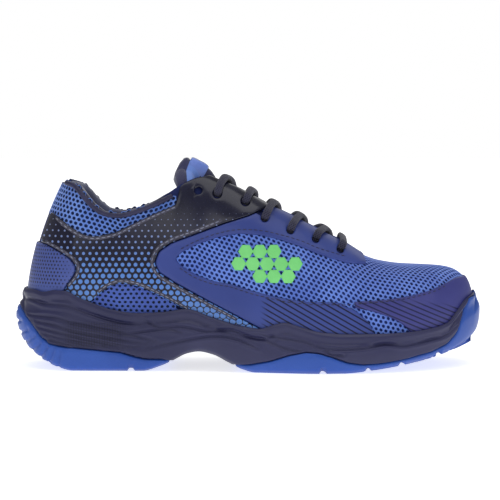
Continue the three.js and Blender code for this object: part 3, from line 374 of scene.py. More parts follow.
class Mix:
    """One material being mixed, with short calls that add a node and wire it."""

    def __init__(self, name):
        self.material = bpy.data.materials.new(name)
        self.material.use_nodes = True
        self.tree = self.material.node_tree
        self.shader = self.tree.nodes["Principled BSDF"]
        place = self.tree.nodes.new("ShaderNodeTexCoord").outputs["Object"]
        split = self.tree.nodes.new("ShaderNodeSeparateXYZ")
        self.tree.links.new(place, split.inputs[0])
        self.place = place
        self.x, self.y, self.z = split.outputs

    def wire(self, value, socket):
        if isinstance(value, bpy.types.NodeSocket):
            self.tree.links.new(value, socket)
        elif value is not None:
            socket.default_value = value

    def times(self, a, b):
        return self.math("MULTIPLY", a, b)

    def plus(self, a, b):
        return self.math("ADD", a, b)

    def less(self, a, b):
        return self.math("SUBTRACT", a, b)

    def math(self, operation, a, b=None, c=None, clamp=False):
        node = self.tree.nodes.new("ShaderNodeMath")
        node.operation = operation
        node.use_clamp = clamp
        for value, socket in zip((a, b, c), node.inputs):
            self.wire(value, socket)
        return node.outputs[0]

    def ramp(self, value, low, high, to_low=0.0, to_high=1.0):
        """A value mapped smoothly from one range to another, clamped at both ends."""
        node = self.tree.nodes.new("ShaderNodeMapRange")
        node.interpolation_type = "SMOOTHSTEP"
        for socket, part in zip(node.inputs, (value, low, high, to_low, to_high)):
            self.wire(part, socket)
        return node.outputs[0]

    def noise(self, scale, detail=3.0, rough=0.55, stretch=None, where=None):
        where = where or self.place
        if stretch:
            mapping = self.tree.nodes.new("ShaderNodeMapping")
            mapping.inputs["Scale"].default_value = stretch
            self.wire(where, mapping.inputs[0])
            where = mapping.outputs[0]
        node = self.tree.nodes.new("ShaderNodeTexNoise")
        self.wire(where, node.inputs["Vector"])
        node.inputs["Scale"].default_value = scale
        node.inputs["Detail"].default_value = detail
        node.inputs["Roughness"].default_value = rough
        return node.outputs["Fac"]

    def blend(self, share, a, b):
        node = self.tree.nodes.new("ShaderNodeMix")
        node.data_type = "RGBA"
        self.wire(share, node.inputs[0])
        for value, socket in ((a, node.inputs[6]), (b, node.inputs[7])):
            self.wire((*value, 1) if isinstance(value, tuple) else value, socket)
        return node.outputs[2]

    def spots(self, pitch, a=None, b=None):
        """Distance to the nearest point of a staggered net of spots, in pitches.
        Two square nets, half a step apart: the smaller of the two distances."""
        p = self.math("DIVIDE", a or self.x, pitch)
        q = self.math("DIVIDE", b or self.z, pitch * 0.866)
        found = []
        for shift, lift in ((0.0, 0.0), (0.5, 1.0)):
            dx = self.math("PINGPONG", self.math("ADD", p, 100 + shift), 0.5)
            dz = self.math("MULTIPLY", self.math("PINGPONG", self.math("ADD", q, 100 + lift), 1.0), 0.866)
            found.append(self.math("SQRT", self.math("ADD", self.math("MULTIPLY", dx, dx),
                                                    self.math("MULTIPLY", dz, dz))))
        return self.math("MINIMUM", *found)

    def stripes(self, pitch, tilt, a=None, b=None):
        """Distance to the nearest of a set of slanted lines, in pitches (0 to 0.5)."""
        c, s = math.cos(tilt), math.sin(tilt)
        turned = self.math("ADD", self.math("MULTIPLY", a or self.x, -s / pitch),
                           self.math("MULTIPLY", b or self.z, c / pitch))
        return self.math("PINGPONG", self.math("ADD", turned, 100.0), 0.5)

    def bump(self, height, strength, depth, below=None):
        node = self.tree.nodes.new("ShaderNodeBump")
        node.inputs["Strength"].default_value = strength
        node.inputs["Distance"].default_value = depth
        self.wire(height, node.inputs["Height"])
        self.wire(below, node.inputs["Normal"])
        return node.outputs[0]

    def done(self, colour, rough, normal=None, **fixed):
        self.wire(colour, self.shader.inputs["Base Color"])
        self.wire(rough, self.shader.inputs["Roughness"])
        self.wire(normal, self.shader.inputs["Normal"])
        for name, value in {"Specular_IOR_Level": SHINE, **fixed}.items():
            self.shader.inputs[name.replace("_", " ")].default_value = value
        return self.material


def plain(name, tone, shade, rough=(0.5, 0.65), broad=18, grain=900, depth=0.00012, strength=0.35,
          stretch=None, **fixed):
    """Two tones mixed by a broad noise, a wandering roughness and a fine grain."""
    mix = Mix(name)
    cloud = mix.noise(broad, 4)
    fine = mix.noise(grain, 2, stretch=stretch)
    tone_share = mix.plus(mix.ramp(cloud, 0.35, 0.65, 0, 0.75), mix.ramp(fine, 0.3, 0.7, 0, 0.25))
    return mix.done(mix.blend(tone_share, tone, shade), mix.ramp(cloud, 0.3, 0.7, *rough),
                    mix.bump(fine, strength, depth), **fixed)

# %% [markdown]
# ## The laces come first
# A lace is a fixed length of flat woven cord. It starts as a straight bar over the front pair
# of eyelets; then each end dives under its own edge, crosses the tongue, comes up over the
# other edge and goes down into the next eyelet. The free ends are tucked inside, beside the
# tongue. The route is the CAD model's own list of points, worked out from the eyelets.

# %% Route of the laces
GAP = 0.3
FABRIC, OVERLAY, STIFFENER, LINING = 1.6, 1.2, 1.5, 0.8
SOCKLINER, BOARD, LACE = 5, 1.8, 3
UNDER = -FABRIC - GAP
EYELETS = np.array([(57, 75.3), (41.5, 81.8), (25.7, 87.2), (9.8, 94.6), (-2.2, 104.5), (-19.7, 109.2),
                    (-31.4, 111.5)])
OVER_HEIGHT = GAP + OVERLAY + GAP + LACE / 2 + 0.4
UNDER_HEIGHT = UNDER - LACE / 2 - 0.4
TURN_MIDDLE = (OVER_HEIGHT + UNDER_HEIGHT) / 2
TURN_RADIUS = (OVER_HEIGHT - UNDER_HEIGHT) / 2
SOCK_BASE = GAP + BOARD + 2 * GAP


def at_eyelet(side, k, offset, shift=0.0):
    """Eyelet k on one side, raised by offset and moved toward the centre line by shift."""
    u, v = on_side(*EYELETS[k])
    up = outward(side * u, v)
    inwards = np.array([0, -side, 0.0])
    inwards = unit(inwards - up * (inwards @ up))
    return off_last(side * u, v, offset) + inwards * shift


def half_turn(side, k):
    """Half circle round the edge strip: height = middle + r*sin(a), shift = 1 - 0.48*r*cos(a)."""
    angles = np.radians([90, 50, 10, -30, -65, -90])
    return [at_eyelet(side, k, TURN_MIDDLE + TURN_RADIUS * math.sin(a), 1 - TURN_RADIUS * math.cos(a) * 0.48)
            for a in angles]


def dive(side, k):
    steps = [(OVER_HEIGHT, 3), (OVER_HEIGHT - 0.6, 1), (TURN_MIDDLE, 0), (UNDER_HEIGHT + 0.6, -1),
             (UNDER_HEIGHT, -2.8)]
    return [at_eyelet(side, k, offset, shift) for offset, shift in steps]


def crossing(from_side, k, high):
    """Five stops between two eyelets: under the near edge, over the tongue, over the far edge."""
    start, end = at_eyelet(from_side, k, 0), at_eyelet(-from_side, k + 1, 0)
    mid = float(centre((start[0] + end[0]) / 2))
    share_at = lambda y: (y - start[1]) / (end[1] - start[1])
    leave = share_at(mid + from_side * (THROAT / 2 - 3))
    enter = share_at(mid - from_side * (THROAT / 2 - 2.5))
    lift = LACE / 2 + 0.35 if high else -LACE / 2 - 0.35
    stops = [(leave * 0.55, UNDER_HEIGHT), (leave, UNDER_HEIGHT + 0.3), ((leave + enter) / 2, lift),
             (enter, OVER_HEIGHT - 0.2), (enter + (1 - enter) * 0.45, OVER_HEIGHT)]
    return [on_plan(*(start + (end - start) * share)[:2], offset) for share, offset in stops]


def strand(side, high):
    points = []
    for k in range(5):
        points += crossing(side, k, high != (k % 2 == 1))
        side = -side
        points += half_turn(side, k + 1) if k < 4 else dive(side, k + 1)
    return points


def laced_route():
    lateral, medial = strand(-1, True), strand(1, False)
    a, b = at_eyelet(-1, 0, 0), at_eyelet(1, 0, 0)
    bar = [on_plan(*(a + (b - a) * share)[:2], OVER_HEIGHT) for share in (0.12, 0.3, 0.5, 0.7, 0.88)]
    return np.array(lateral[::-1] + half_turn(-1, 0)[::-1] + bar + half_turn(1, 0) + medial)


def tail_route(side):
    """From the last eyelet down inside the shoe, then along the sockliner in one loop."""
    u, v = on_side(*EYELETS[5])
    start = dive(side, 5)[-1]
    under = [off_last(side * (u - 0.006), v * share, UNDER_HEIGHT + drop)
             for share, drop in ((0.86, -0.4), (0.74, -1), (0.64, -2.4))]
    first = start + unit(under[0] - start) * 2 * GAP
    rest = float(feather_z(0)) + SOCK_BASE + SOCKLINER + 6
    places = [(-30, 21, 62), (-34, 18, 50), (-30, 14, rest + 9), (-18, 12, rest + 6), (-2, 13, rest + 3),
              (16, 15, rest + 1.5), (34, 18, rest + 1), (50, 19, rest + 1), (64, 15, rest + 1),
              (68, 8, rest + 1), (62, 3.4, rest + 1), (48, 3.2, rest + 1), (32, 4, rest + 1),
              (16, 4.4, rest + 2), (4, 4, rest + 3.5)]
    inside = [np.array([x, side * y + float(centre(x)), z]) for x, y, z in places]
    return np.array([first] + under + inside)


# %% [markdown]
# ## Woven flat laces
# A sports lace is a flat oval braid. One oval is carried along the route with its flat side
# toward the foot. The braid is a herringbone in the lace's own coordinates, kept in a UV map
# as millimetres round and along, so the weave follows every turn.

# %% Lace finish
LACE_WIDTH, LACE_THICK, LACE_SIDES = 4.8, 2.6, 16


def woven(name, dark, light, pitch, depth=0.0002, **fixed):
    """Herringbone of two crossing sets of yarns: sin(a+b) and sin(a-b), taken in turn."""
    mix = Mix(name)
    uv = mix.tree.nodes.new("ShaderNodeUVMap")
    uv.uv_map = "cloth"
    split = mix.tree.nodes.new("ShaderNodeSeparateXYZ")
    mix.tree.links.new(uv.outputs[0], split.inputs[0])
    a = mix.times(split.outputs[0], 2 * math.pi / pitch)
    b = mix.times(split.outputs[1], 2 * math.pi / pitch)
    one = mix.math("SINE", mix.plus(a, b))
    two = mix.math("SINE", mix.less(a, b))
    yarn = mix.math("MAXIMUM", one, two)
    height = mix.ramp(yarn, -0.2, 1)
    cloud = mix.noise(60, 3)
    share = mix.times(height, mix.ramp(cloud, 0.3, 0.7, 0.55, 1))
    return mix.done(mix.blend(share, dark, light), mix.ramp(height, 0, 1, 0.9, 0.68),
                    mix.bump(height, 0.6, depth), **fixed)


LACE_NAVY = woven("lace_weave", (0.008, 0.008, 0.022), (0.045, 0.045, 0.09), 1.5, Sheen_Weight=0.25)


def lace_piece(name, route, finish):
    """The oval carried along the route; across = path x normal of the last under it."""
    path = even(smooth_path(route, 8), 1.0)
    along = unit(np.gradient(path, axis=0))
    up = flat_side(path)
    up = unit(up - along * np.sum(up * along, -1, keepdims=True))
    across = np.cross(along, up)
    points, faces = carry(oval(LACE_WIDTH, LACE_THICK, LACE_SIDES, 2.6), path, across, up)
    thing = piece(name, points, faces, [finish])
    paint_cloth(thing, path, across)
    return thing, path


def flat_side(path):
    """Smoothed normal of the last near each point of the path."""
    u, v = on_side(path[:, 0], path[:, 2])
    side = np.where(path[:, 1] < centre(path[:, 0]), -1.0, 1.0)
    near = np.clip(np.abs(path[:, 1] - centre(path[:, 0])) / 12, 0, 1)[:, None]
    normal = outward(side * u, np.minimum(v, 0.97)) * near
    ridge = outward(station_of(path[:, 0]), np.full(len(path), 0.995)) * [1, 0, 1]
    normal = unit(normal + unit(ridge) * (1.02 - near))
    core = np.ones(9) / 9
    padded = np.pad(normal, ((4, 4), (0, 0)), "edge")
    return unit(np.stack([np.convolve(padded[:, k], core, "valid") for k in range(3)], -1))


def paint_cloth(thing, path, across):
    """UV map in millimetres: along the path, and across it on the flat side."""
    mesh = thing.data
    co = np.empty(len(mesh.vertices) * 3)
    mesh.vertices.foreach_get("co", co)
    co = co.reshape(-1, 3) / MM
    arc = np.concatenate([[0], np.cumsum(np.linalg.norm(np.diff(path, axis=0), axis=1))])
    near = np.empty(len(co), int)
    for k in range(0, len(co), 4000):
        near[k:k + 4000] = np.argmin(((co[k:k + 4000, None] - path[None]) ** 2).sum(-1), axis=1)
    side = np.sum((co - path[near]) * across[near], -1)
    corner = np.empty(len(mesh.loops), np.int32)
    mesh.loops.foreach_get("vertex_index", corner)
    uv = np.stack([arc[near], side], -1)[corner]
    layer = mesh.uv_layers.new(name="cloth")
    layer.data.foreach_set("uv", uv.ravel())


# %% Lace, its two ends and their tips
lace, lace_path = lace_piece("lace_laced", laced_route(), LACE_NAVY)
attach(lace, "shoe")
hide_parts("lace")
length_of(lace_path) * MM

TIP = plain("lace_tip", (0.30, 0.32, 0.38), (0.22, 0.24, 0.30), (0.22, 0.4), 60, 1500, 0.00005,
            Coat_Weight=0.4)
TIP_LENGTH, TIP_RINGS, TIP_SIDES = 20, 14, 12
for side, word in ((-1, "lateral"), (1, "medial")):
    end, end_path = lace_piece(f"lace_end_{word}", tail_route(side), LACE_NAVY)
    aim_way = unit(end_path[-1] - end_path[-4])
    tip_path = end_path[-1] + aim_way * np.linspace(GAP, TIP_LENGTH + GAP, TIP_RINGS)[:, None]
    wide = unit(np.cross(aim_way, [0, 0, 1.0]))
    rise = np.tile(np.cross(wide, aim_way), (TIP_RINGS, 1))
    points, faces = carry(oval(1, 1, TIP_SIDES), tip_path, np.tile(wide, (TIP_RINGS, 1)), rise)
    swell = np.interp(np.arange(TIP_RINGS), [0, 1, 2, 11, 12, 13], [2.6, 3.1, 3.0, 2.9, 2.6, 1.6])
    ring = points[:TIP_RINGS * TIP_SIDES].reshape(TIP_RINGS, TIP_SIDES, 3)
    middle = tip_path[:, None]
    points[:TIP_RINGS * TIP_SIDES] = (middle + (ring - middle) * swell[:, None, None]).reshape(-1, 3)
    tip = piece(f"lace_tip_{word}", points, faces, [TIP])
    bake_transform(end)
    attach(tip, "sockliner")
    for thing, node, slot in ((end, f"lace_tail_{word}", "lace_navy"), (tip, f"aglet_{word}", "tip_clear")):
        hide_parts(node)
    length_of(end_path) * MM
    print(f"lace end {word}: {length_of(end_path):.0f} mm and a {TIP_LENGTH} mm tip")
print(f"laced part: {length_of(lace_path):.0f} mm")

# %% [markdown]
# ## One net for the whole upper
# Panels are cut from one fine net of points on the last, as a cutter lays knives on cloth.
# Columns run from heel to toe and rows from the feather line to the ridge. Both are spaced
# by measured length, so the net's cells are about a millimetre square everywhere.


# %% Net
class Net:
    """Points P and normals N of a surface, as arrays [side, column, row]; side 0 is lateral."""

    def __init__(self, points, normals, ridge_closed, ends_closed):
        self.P, self.N = points, normals
        self.columns, self.rows = points.shape[1:3]
        self.ridge_closed, self.ends_closed = ridge_closed, ends_closed

    def sample(self, side, i, j, array=None):
        """Value between four points of the net, by the shares of their cell."""
        array = self.P if array is None else array
        i = np.clip(i, 0, self.columns - 1.0001)
        j = np.clip(j, 0, self.rows - 1.0001)
        a, b = i.astype(int), j.astype(int)
        s, t = (i - a)[..., None], (j - b)[..., None]
        top = array[side, a, b] * (1 - s) + array[side, a + 1, b] * s
        return top * (1 - t) + (array[side, a, b + 1] * (1 - s) + array[side, a + 1, b + 1] * s) * t

    def at(self, side, i, j, offset):
        offset = np.broadcast_to(offset, i.shape)[..., None]
        return self.sample(side, i, j) + unit(self.sample(side, i, j, self.N)) * offset

    def same(self):
        """Number of each point; points on a closed ridge or end count once for both sides."""
        n = np.arange(2 * self.columns * self.rows).reshape(2, self.columns, self.rows)
        n[1][self.ridge_closed] = n[0][self.ridge_closed]
        if self.ends_closed:
            n[1, 0], n[1, -1] = n[0, 0], n[0, -1]
        return n


UPPER_COLUMNS, UPPER_ROWS = 270, 112


def upper_net():
    fine = np.linspace(0, 1, 1601)
    line = last(-fine, 0.3)
    arc = np.concatenate([[0], np.cumsum(np.linalg.norm(np.diff(line, axis=0), axis=1))])
    u = np.interp(np.linspace(0, arc[-1], UPPER_COLUMNS), arc, fine)
    top = row_top(station_x(u))
    share = np.linspace(0, 1, 301)
    section = last(-u[:, None], share[None] * top[:, None])
    steps = np.linalg.norm(np.diff(section, axis=1), axis=2)
    arc = np.concatenate([np.zeros((len(u), 1)), np.cumsum(steps, axis=1)], 1)
    v = np.stack([np.interp(np.linspace(0, a[-1], UPPER_ROWS), a, share) * t for a, t in zip(arc, top)])
    w = np.stack([-np.broadcast_to(u[:, None], v.shape), np.broadcast_to(u[:, None], v.shape)])
    vv = np.stack([v, v])
    at = last(w, vv)
    normal = outward(w, vv)
    crest = vv > 0.999
    normal = np.where(crest[..., None], unit(normal + outward(-w, vv)), normal)
    return Net(at, normal, v >= 0.9999, True)


upper = upper_net()
print("net of the upper:", upper.P.shape)

# %% [markdown]
# ## Knives: where a panel is
# A panel's outline is drawn in side view. Every outline becomes a field: a number for each
# point of space that says how far inside the outline it is. Two fields combine by taking
# the smaller (both) or the larger (either), so a window is "inside one, outside another".


# %% Fields
def rounded(points, radius=1.6, step=0.8):
    """Outline as even points, with its corners worn round by averaging along it."""
    loop = np.array(list(points) + [points[0]], float)
    loop = even(loop, step)[:-1]
    for _ in range(max(int(radius / step * 2), 1)):
        loop = (np.roll(loop, 1, 0) + 2 * loop + np.roll(loop, -1, 0)) / 4
    return loop


FIELD_STEP, FIELD_REACH = 0.5, 8.0
FIELD_X = np.arange(-176, 176, FIELD_STEP)
FIELD_Z = np.arange(-26, 226, FIELD_STEP)


def knife(points, radius=1.6, step=0.8):
    """Signed distance to a closed outline in side view, above zero inside, as a table.
    Distance is to the nearest segment; the sign comes from counting crossings to the right."""
    loop = rounded(points, radius, step)
    a, b = loop, np.roll(loop, -1, 0)
    d = b - a
    corner = np.array([FIELD_X[0], FIELD_Z[0]])
    size = np.array([len(FIELD_X), len(FIELD_Z)])
    cell = np.arange(-int(FIELD_REACH / FIELD_STEP), int(FIELD_REACH / FIELD_STEP) + 1)
    ci, cj = np.meshgrid(cell, cell, indexing="ij")
    near = np.round((a - corner) / FIELD_STEP).astype(int)[:, None, None] + np.stack([ci, cj], -1)
    r = corner + near * FIELD_STEP - a[:, None, None]
    dd = d[:, None, None]
    t = np.clip((r * dd).sum(-1) / np.maximum((dd * dd).sum(-1), 1e-9), 0, 1)
    away = np.sqrt(((r - t[..., None] * dd) ** 2).sum(-1))
    fits = ((near >= 0) & (near < size)).all(-1)
    table = np.full(size, FIELD_REACH)
    np.minimum.at(table, (near[fits][:, 0], near[fits][:, 1]), away[fits])
    row, seg = np.nonzero((a[None, :, 1] > FIELD_Z[:, None]) != (b[None, :, 1] > FIELD_Z[:, None]))
    at = a[seg, 0] + (FIELD_Z[row] - a[seg, 1]) / d[seg, 1] * d[seg, 0]
    col = np.clip(np.ceil((at - FIELD_X[0]) / FIELD_STEP).astype(int) - 1, -1, size[0] - 1)
    hits = np.zeros((size[0] + 1, size[1]), int)
    np.add.at(hits, (col + 1, row), 1)
    inside = (np.cumsum(hits[::-1], axis=0)[::-1][1:] % 2) == 1
    table = np.where(inside, table, -table)

    def field(p):
        i = np.clip((p[..., 0] - FIELD_X[0]) / FIELD_STEP, 0, size[0] - 1.001)
        j = np.clip((p[..., 2] - FIELD_Z[0]) / FIELD_STEP, 0, size[1] - 1.001)
        k, m = i.astype(int), j.astype(int)
        s, t = i - k, j - m
        low = table[k, m] * (1 - s) + table[k + 1, m] * s
        return low * (1 - t) + (table[k, m + 1] * (1 - s) + table[k + 1, m + 1] * s) * t

    return field


def both(*fields):
    return lambda p: np.minimum.reduce([f(p) for f in fields])


def either(*fields):
    return lambda p: np.maximum.reduce([f(p) for f in fields])


def outside(field, spare=0.0):
    return lambda p: -field(p) - spare


def throat(p):
    """Distance from the tongue opening: a slot along the centre line with a round front."""
    y = np.abs(p[..., 1] - centre(p[..., 0]))
    ahead = p[..., 0] - (64 - THROAT / 2)
    slot = np.where(ahead > 0, np.hypot(ahead, y), y) - THROAT / 2
    return np.where(p[..., 2] > 60, slot, 12)


def holes(radius):
    """Distance from the eyelet holes, in side view."""
    def field(p):
        away = np.sqrt(((p[..., None, :][..., [0, 2]] - EYELETS) ** 2).sum(-1)).min(-1)
        return away - radius
    return field


# %% [markdown]
# ## Cutting a panel
# The cutter keeps every cell of the net that lies inside the field. The ragged edge is then
# drawn out to the exact outline, step by step along the field's slope. A few rings with a
# quarter-circle profile turn the edge down, as a fused film or a skived leather does, and an
# under side closes the piece.

# %% Panel cutter
EDGE_PROFILE = (1.0, 0.6, 0.28, 0.07, 0.0)


def settle(net, field, side, i, j, level, offset, limit, rounds=5):
    """Move net coordinates until the field has the wanted level: step = -(D - level) * grad/|grad|^2."""
    step = 0.25
    value_at = lambda a, b: field(net.at(side, a, b, offset))
    for _ in range(rounds):
        value = value_at(i, j) - level
        gi = (value_at(i + step, j) - value_at(i - step, j)) / (2 * step)
        gj = (value_at(i, j + step) - value_at(i, j - step)) / (2 * step)
        size = gi * gi + gj * gj
        move = np.where(limit | (size < 0.01), 0, value / np.maximum(size, 0.05))
        i = np.clip(i - np.clip(move * gi, -1.5, 1.5), 0, net.columns - 1)
        j = np.clip(j - np.clip(move * gj, -1.5, 1.5), 0, net.rows - 1)
    return i, j


FAR_OUTSIDE, FREE_EDGE = -12.0, 2.6


def whole_cells(net, keep, sides):
    """Cells whose four corners are kept: the points they use, and the faces between them."""
    number = net.same()
    quads = []
    for s in sides:
        k = keep[s]
        i, j = np.nonzero(k[:-1, :-1] & k[1:, :-1] & k[1:, 1:] & k[:-1, 1:])
        n = number[s]
        quad = np.stack([n[i, j], n[i + 1, j], n[i + 1, j + 1], n[i, j + 1]], -1)
        quads.append(quad[:, ::-1] if s == 1 else quad)
    used, faces = np.unique(np.concatenate(quads), return_inverse=True)
    return used, faces.reshape(-1, 4)


def border(faces):
    """Edges that only one face has: their reverse is nowhere in the list."""
    edges = np.concatenate([faces[:, [k, (k + 1) % 4]] for k in range(4)])
    count = faces.max() + 1
    return edges[~np.isin(edges[:, 0] * count + edges[:, 1], edges[:, 1] * count + edges[:, 0])]


def cut(name, field, low, high, finishes, net=None, edge=1.2, inset=0.15, sides=(0, 1), relief=None,
        under=True, row_end=None):
    """A closed panel between two offsets of the net, with a rounded edge."""
    net = net or upper
    surface = net.P + unit(net.N) * high
    depth = np.full(surface.shape[:3], FAR_OUTSIDE)
    for s in sides:
        depth[s] = field(surface[s])
    if row_end:
        depth[:, :, row_end:] = FAR_OUTSIDE
    used, faces = whole_cells(net, depth >= inset + edge, sides)
    side, rest = np.divmod(used, net.columns * net.rows)
    i, j = (a.astype(float) for a in np.divmod(rest, net.rows))
    open_edges = border(faces)
    rim = np.unique(open_edges)
    fixed = (j[rim] == 0) | (depth.reshape(-1)[used[rim]] > inset + edge + FREE_EDGE)
    i[rim], j[rim] = settle(net, field, side[rim], i[rim], j[rim], inset + edge, high, fixed)
    offset = np.full(len(used), float(high))
    if relief is not None:
        lift = relief(net.at(side, i, j, high))
        lift[rim] = 0
        offset = offset + lift
    layers = [net.at(side, i, j, offset)]
    place = np.full(len(used), -1)
    place[rim] = np.arange(len(rim))
    rings = [rim]
    total = len(used)
    ri, rj = i[rim], j[rim]
    for part in EDGE_PROFILE[1:]:
        height = low + (high - low) * math.sqrt(1 - (1 - part) ** 2)
        ri, rj = settle(net, field, side[rim], ri, rj, inset + edge * part, high, fixed, 3)
        layers.append(net.at(side[rim], ri, rj, height))
        rings.append(total + np.arange(len(rim)))
        total += len(rim)
    a, b = place[open_edges[:, 0]], place[open_edges[:, 1]]
    walls = [np.stack([near[b], near[a], far[a], far[b]], -1) for near, far in zip(rings, rings[1:])]
    parts = [faces] + walls
    if under:
        inner = total + np.arange(len(used))
        inner[rim] = rings[-1]
        layers.append(net.at(side, i, j, low))
        parts.append(inner[faces][:, ::-1])
    points = np.concatenate(layers)
    faces = np.concatenate(parts)
    points, faces = drop_unused(points, faces)
    return piece(name, points, outward_faces(points, faces, parts[0]), finishes, join=False)


def drop_unused(points, faces):
    used, back = np.unique(faces, return_inverse=True)
    return points[used], back.reshape(faces.shape)


def outward_faces(points, faces, sheet):
    """Turn every face round if the first sheet looks inward."""
    p = points[faces[:len(sheet)]]
    normal = np.cross(p[:, 2] - p[:, 0], p[:, 3] - p[:, 1])
    middle = p.mean(1)
    away = middle - np.stack([middle[:, 0] * 0.9, centre(middle[:, 0]), np.full(len(p), 45.0)], -1)
    return faces if (normal * away).sum() > 0 else faces[:, ::-1]


print("panel cutter ready")

# %% [markdown]
# ## Finishes of the upper
# The upper mixes a spacer mesh, a glossy fused film with printed dots, smooth coated panels
# and a rubbery print. Each finish below is one small network with the tones of that cloth.

# %% Finishes of the upper
YARN = plain("vamp_yarn", (0.085, 0.165, 0.60), (0.15, 0.27, 0.80), (0.7, 0.88), 34, 1600, 0.00018, 0.6,
             Sheen_Weight=0.35)
# Vamp hole finish: the floor has the dark liner's own colour; on the hole walls the same dark is painted
# shade.
VAMP_HOLE_LINER_AND_SHADE = plain("vamp_hole_liner_and_shade", (0.012, 0.025, 0.14), (0.03, 0.05, 0.24), (0.85, 0.95), 60, 1200)
COLLAR_YARN = plain("collar_yarn", (0.09, 0.19, 0.62), (0.15, 0.28, 0.74), (0.7, 0.85), 40, 1600,
                    0.00018, 0.6,
                    Sheen_Weight=0.35)
# Collar hole finish: dark liner colour on the floor, painted shade on the hole walls.
COLLAR_HOLE_LINER_AND_SHADE = plain("collar_hole_liner_and_shade", (0.010, 0.018, 0.075), (0.02, 0.035, 0.13), (0.85, 0.95), 60, 1200)
WINDOW_YARN = plain("window_yarn", (0.055, 0.10, 0.42), (0.075, 0.14, 0.50), (0.5, 0.65), 40, 1300,
                    0.0001, 0.4)
# Window hole finish: dark liner colour on the floor, painted shade on the hole walls.
WINDOW_HOLE_LINER_AND_SHADE = plain("window_hole_liner_and_shade", (0.012, 0.016, 0.04), (0.02, 0.03, 0.07), (0.85, 0.95), 60, 1200)
BACKING = plain("backing_cloth", (0.010, 0.018, 0.09), (0.02, 0.03, 0.14), (0.85, 0.95), 40, 1400,
                0.0002, 0.6)
GREEN = plain("green_print", (0.19, 0.68, 0.20), (0.23, 0.76, 0.24), (0.35, 0.5), 50, 1500, 0.00006, 0.4)
STITCH = plain("stitch_grey", (0.20, 0.22, 0.33), (0.30, 0.32, 0.42), (0.6, 0.75), 80, 2500, 0.0001, 0.6)
PIPING = plain("piping_dark", (0.018, 0.018, 0.055), (0.035, 0.035, 0.09), (0.35, 0.5), 60, 1800, 0.0001,
               0.5)
LINING_CLOTH = plain("lining_cloth", (0.050, 0.055, 0.13), (0.095, 0.105, 0.19), (0.8, 0.95), 45, 2200,
                     0.0003, 0.8, Sheen_Weight=0.6)
STIFF_BOARD = plain("stiffener", (0.02, 0.022, 0.03), (0.035, 0.037, 0.05), (0.5, 0.7), 40, 900)


def film_finish():
    """Glossy navy film with printed dots that grow into touching cells toward the arch."""
    mix = Mix("strap_film")
    cloud = mix.noise(22, 4)
    small = mix.ramp(mix.z, 0.104, 0.080, 0.0, 0.17)
    middle = mix.ramp(mix.z, 0.084, 0.054, 0.0, 0.19)
    size = mix.plus(mix.plus(small, middle), mix.ramp(mix.z, 0.052, 0.036, 0.0, 0.09))
    away = mix.spots(0.0040)
    dot = mix.ramp(mix.less(away, size), 0.035, -0.035)
    cell = mix.blend(cloud, (0.075, 0.20, 0.60), (0.12, 0.27, 0.66))
    pale = mix.blend(mix.ramp(mix.z, 0.096, 0.060), (0.22, 0.26, 0.45), cell)
    ground = mix.blend(mix.ramp(cloud, 0.35, 0.7), (0.004, 0.004, 0.018), (0.010, 0.011, 0.034))
    fine = mix.noise(1400, 2)
    lift = mix.plus(dot, mix.times(fine, 0.1))
    return mix.done(mix.blend(dot, ground, pale), mix.ramp(cloud, 0.3, 0.7, 0.16, 0.30),
                    mix.bump(lift, 0.5, 0.0003), Coat_Weight=0.35, Coat_Roughness=0.15)


def striped_finish(name, tone, shade, line, pitch, tilt, width, where, rough=(0.42, 0.55)):
    """Smooth coated panel with slanted printed lines; the mask says where the lines are."""
    mix = Mix(name)
    cloud = mix.noise(14, 4)
    stripe = mix.ramp(mix.stripes(pitch, tilt), width + 0.045, width - 0.045)
    share = mix.times(stripe, where(mix))
    fine = mix.noise(1100, 3)
    ground = mix.blend(mix.ramp(cloud, 0.32, 0.68), tone, shade)
    lift = mix.less(mix.times(fine, 0.25), share)
    return mix.done(mix.blend(share, ground, line), mix.ramp(cloud, 0.3, 0.7, *rough),
                    mix.bump(lift, 0.45, 0.00025), Coat_Weight=0.12)


HEEL_AXIS, HEEL_RADIUS = -0.103, 0.036


def heel_finish():
    """Coated heel panel with rows of small punched holes that fade toward the strap."""
    mix = Mix("heel_panel_blue")
    cloud = mix.noise(16, 4)
    turn = mix.math("ARCTAN2", mix.y, mix.less(HEEL_AXIS, mix.x))
    away = mix.spots(0.0026, mix.times(turn, HEEL_RADIUS))
    size = mix.ramp(mix.x, -0.108, -0.121, 0.10, 0.27)
    hole = mix.times(mix.ramp(mix.less(away, size), 0.05, -0.05),
                    mix.ramp(mix.z, 0.050, 0.054))
    ground = mix.blend(mix.ramp(cloud, 0.3, 0.7), (0.075, 0.115, 0.40), (0.055, 0.085, 0.31))
    fine = mix.noise(1200, 2)
    lift = mix.less(mix.times(fine, 0.15), hole)
    return mix.done(mix.blend(hole, ground, (0.012, 0.014, 0.05)), mix.ramp(cloud, 0.3, 0.7, 0.35, 0.5),
                    mix.bump(lift, 0.6, 0.0004), Coat_Weight=0.25, Coat_Roughness=0.25)


FILM = film_finish()
SADDLE = striped_finish(
    "saddle_coat", (0.030, 0.052, 0.24), (0.042, 0.070, 0.30), (0.005, 0.006, 0.035), 0.0030,
    math.radians(-30), 0.15,
    lambda mix: mix.times(mix.ramp(mix.x, 0.006, 0.012),
                          mix.ramp(mix.plus(mix.z, mix.times(mix.x, 0.05)), 0.0475, 0.0455)))
CAP = striped_finish(
    "toe_cap_coat", (0.036, 0.040, 0.20), (0.050, 0.054, 0.245), (0.010, 0.011, 0.065), 0.0028,
    math.radians(-24), 0.15,
    lambda mix: mix.ramp(mix.plus(mix.z, mix.times(mix.x, 0.16)), 0.0615, 0.0575))
HEEL_COAT = heel_finish()

# %% [markdown]
# ## Outlines of the panels
# These are the pattern's own outlines in side view, the same as the CAD model's. Short runs
# of points describe each edge; the knife function rounds them into smooth lines.

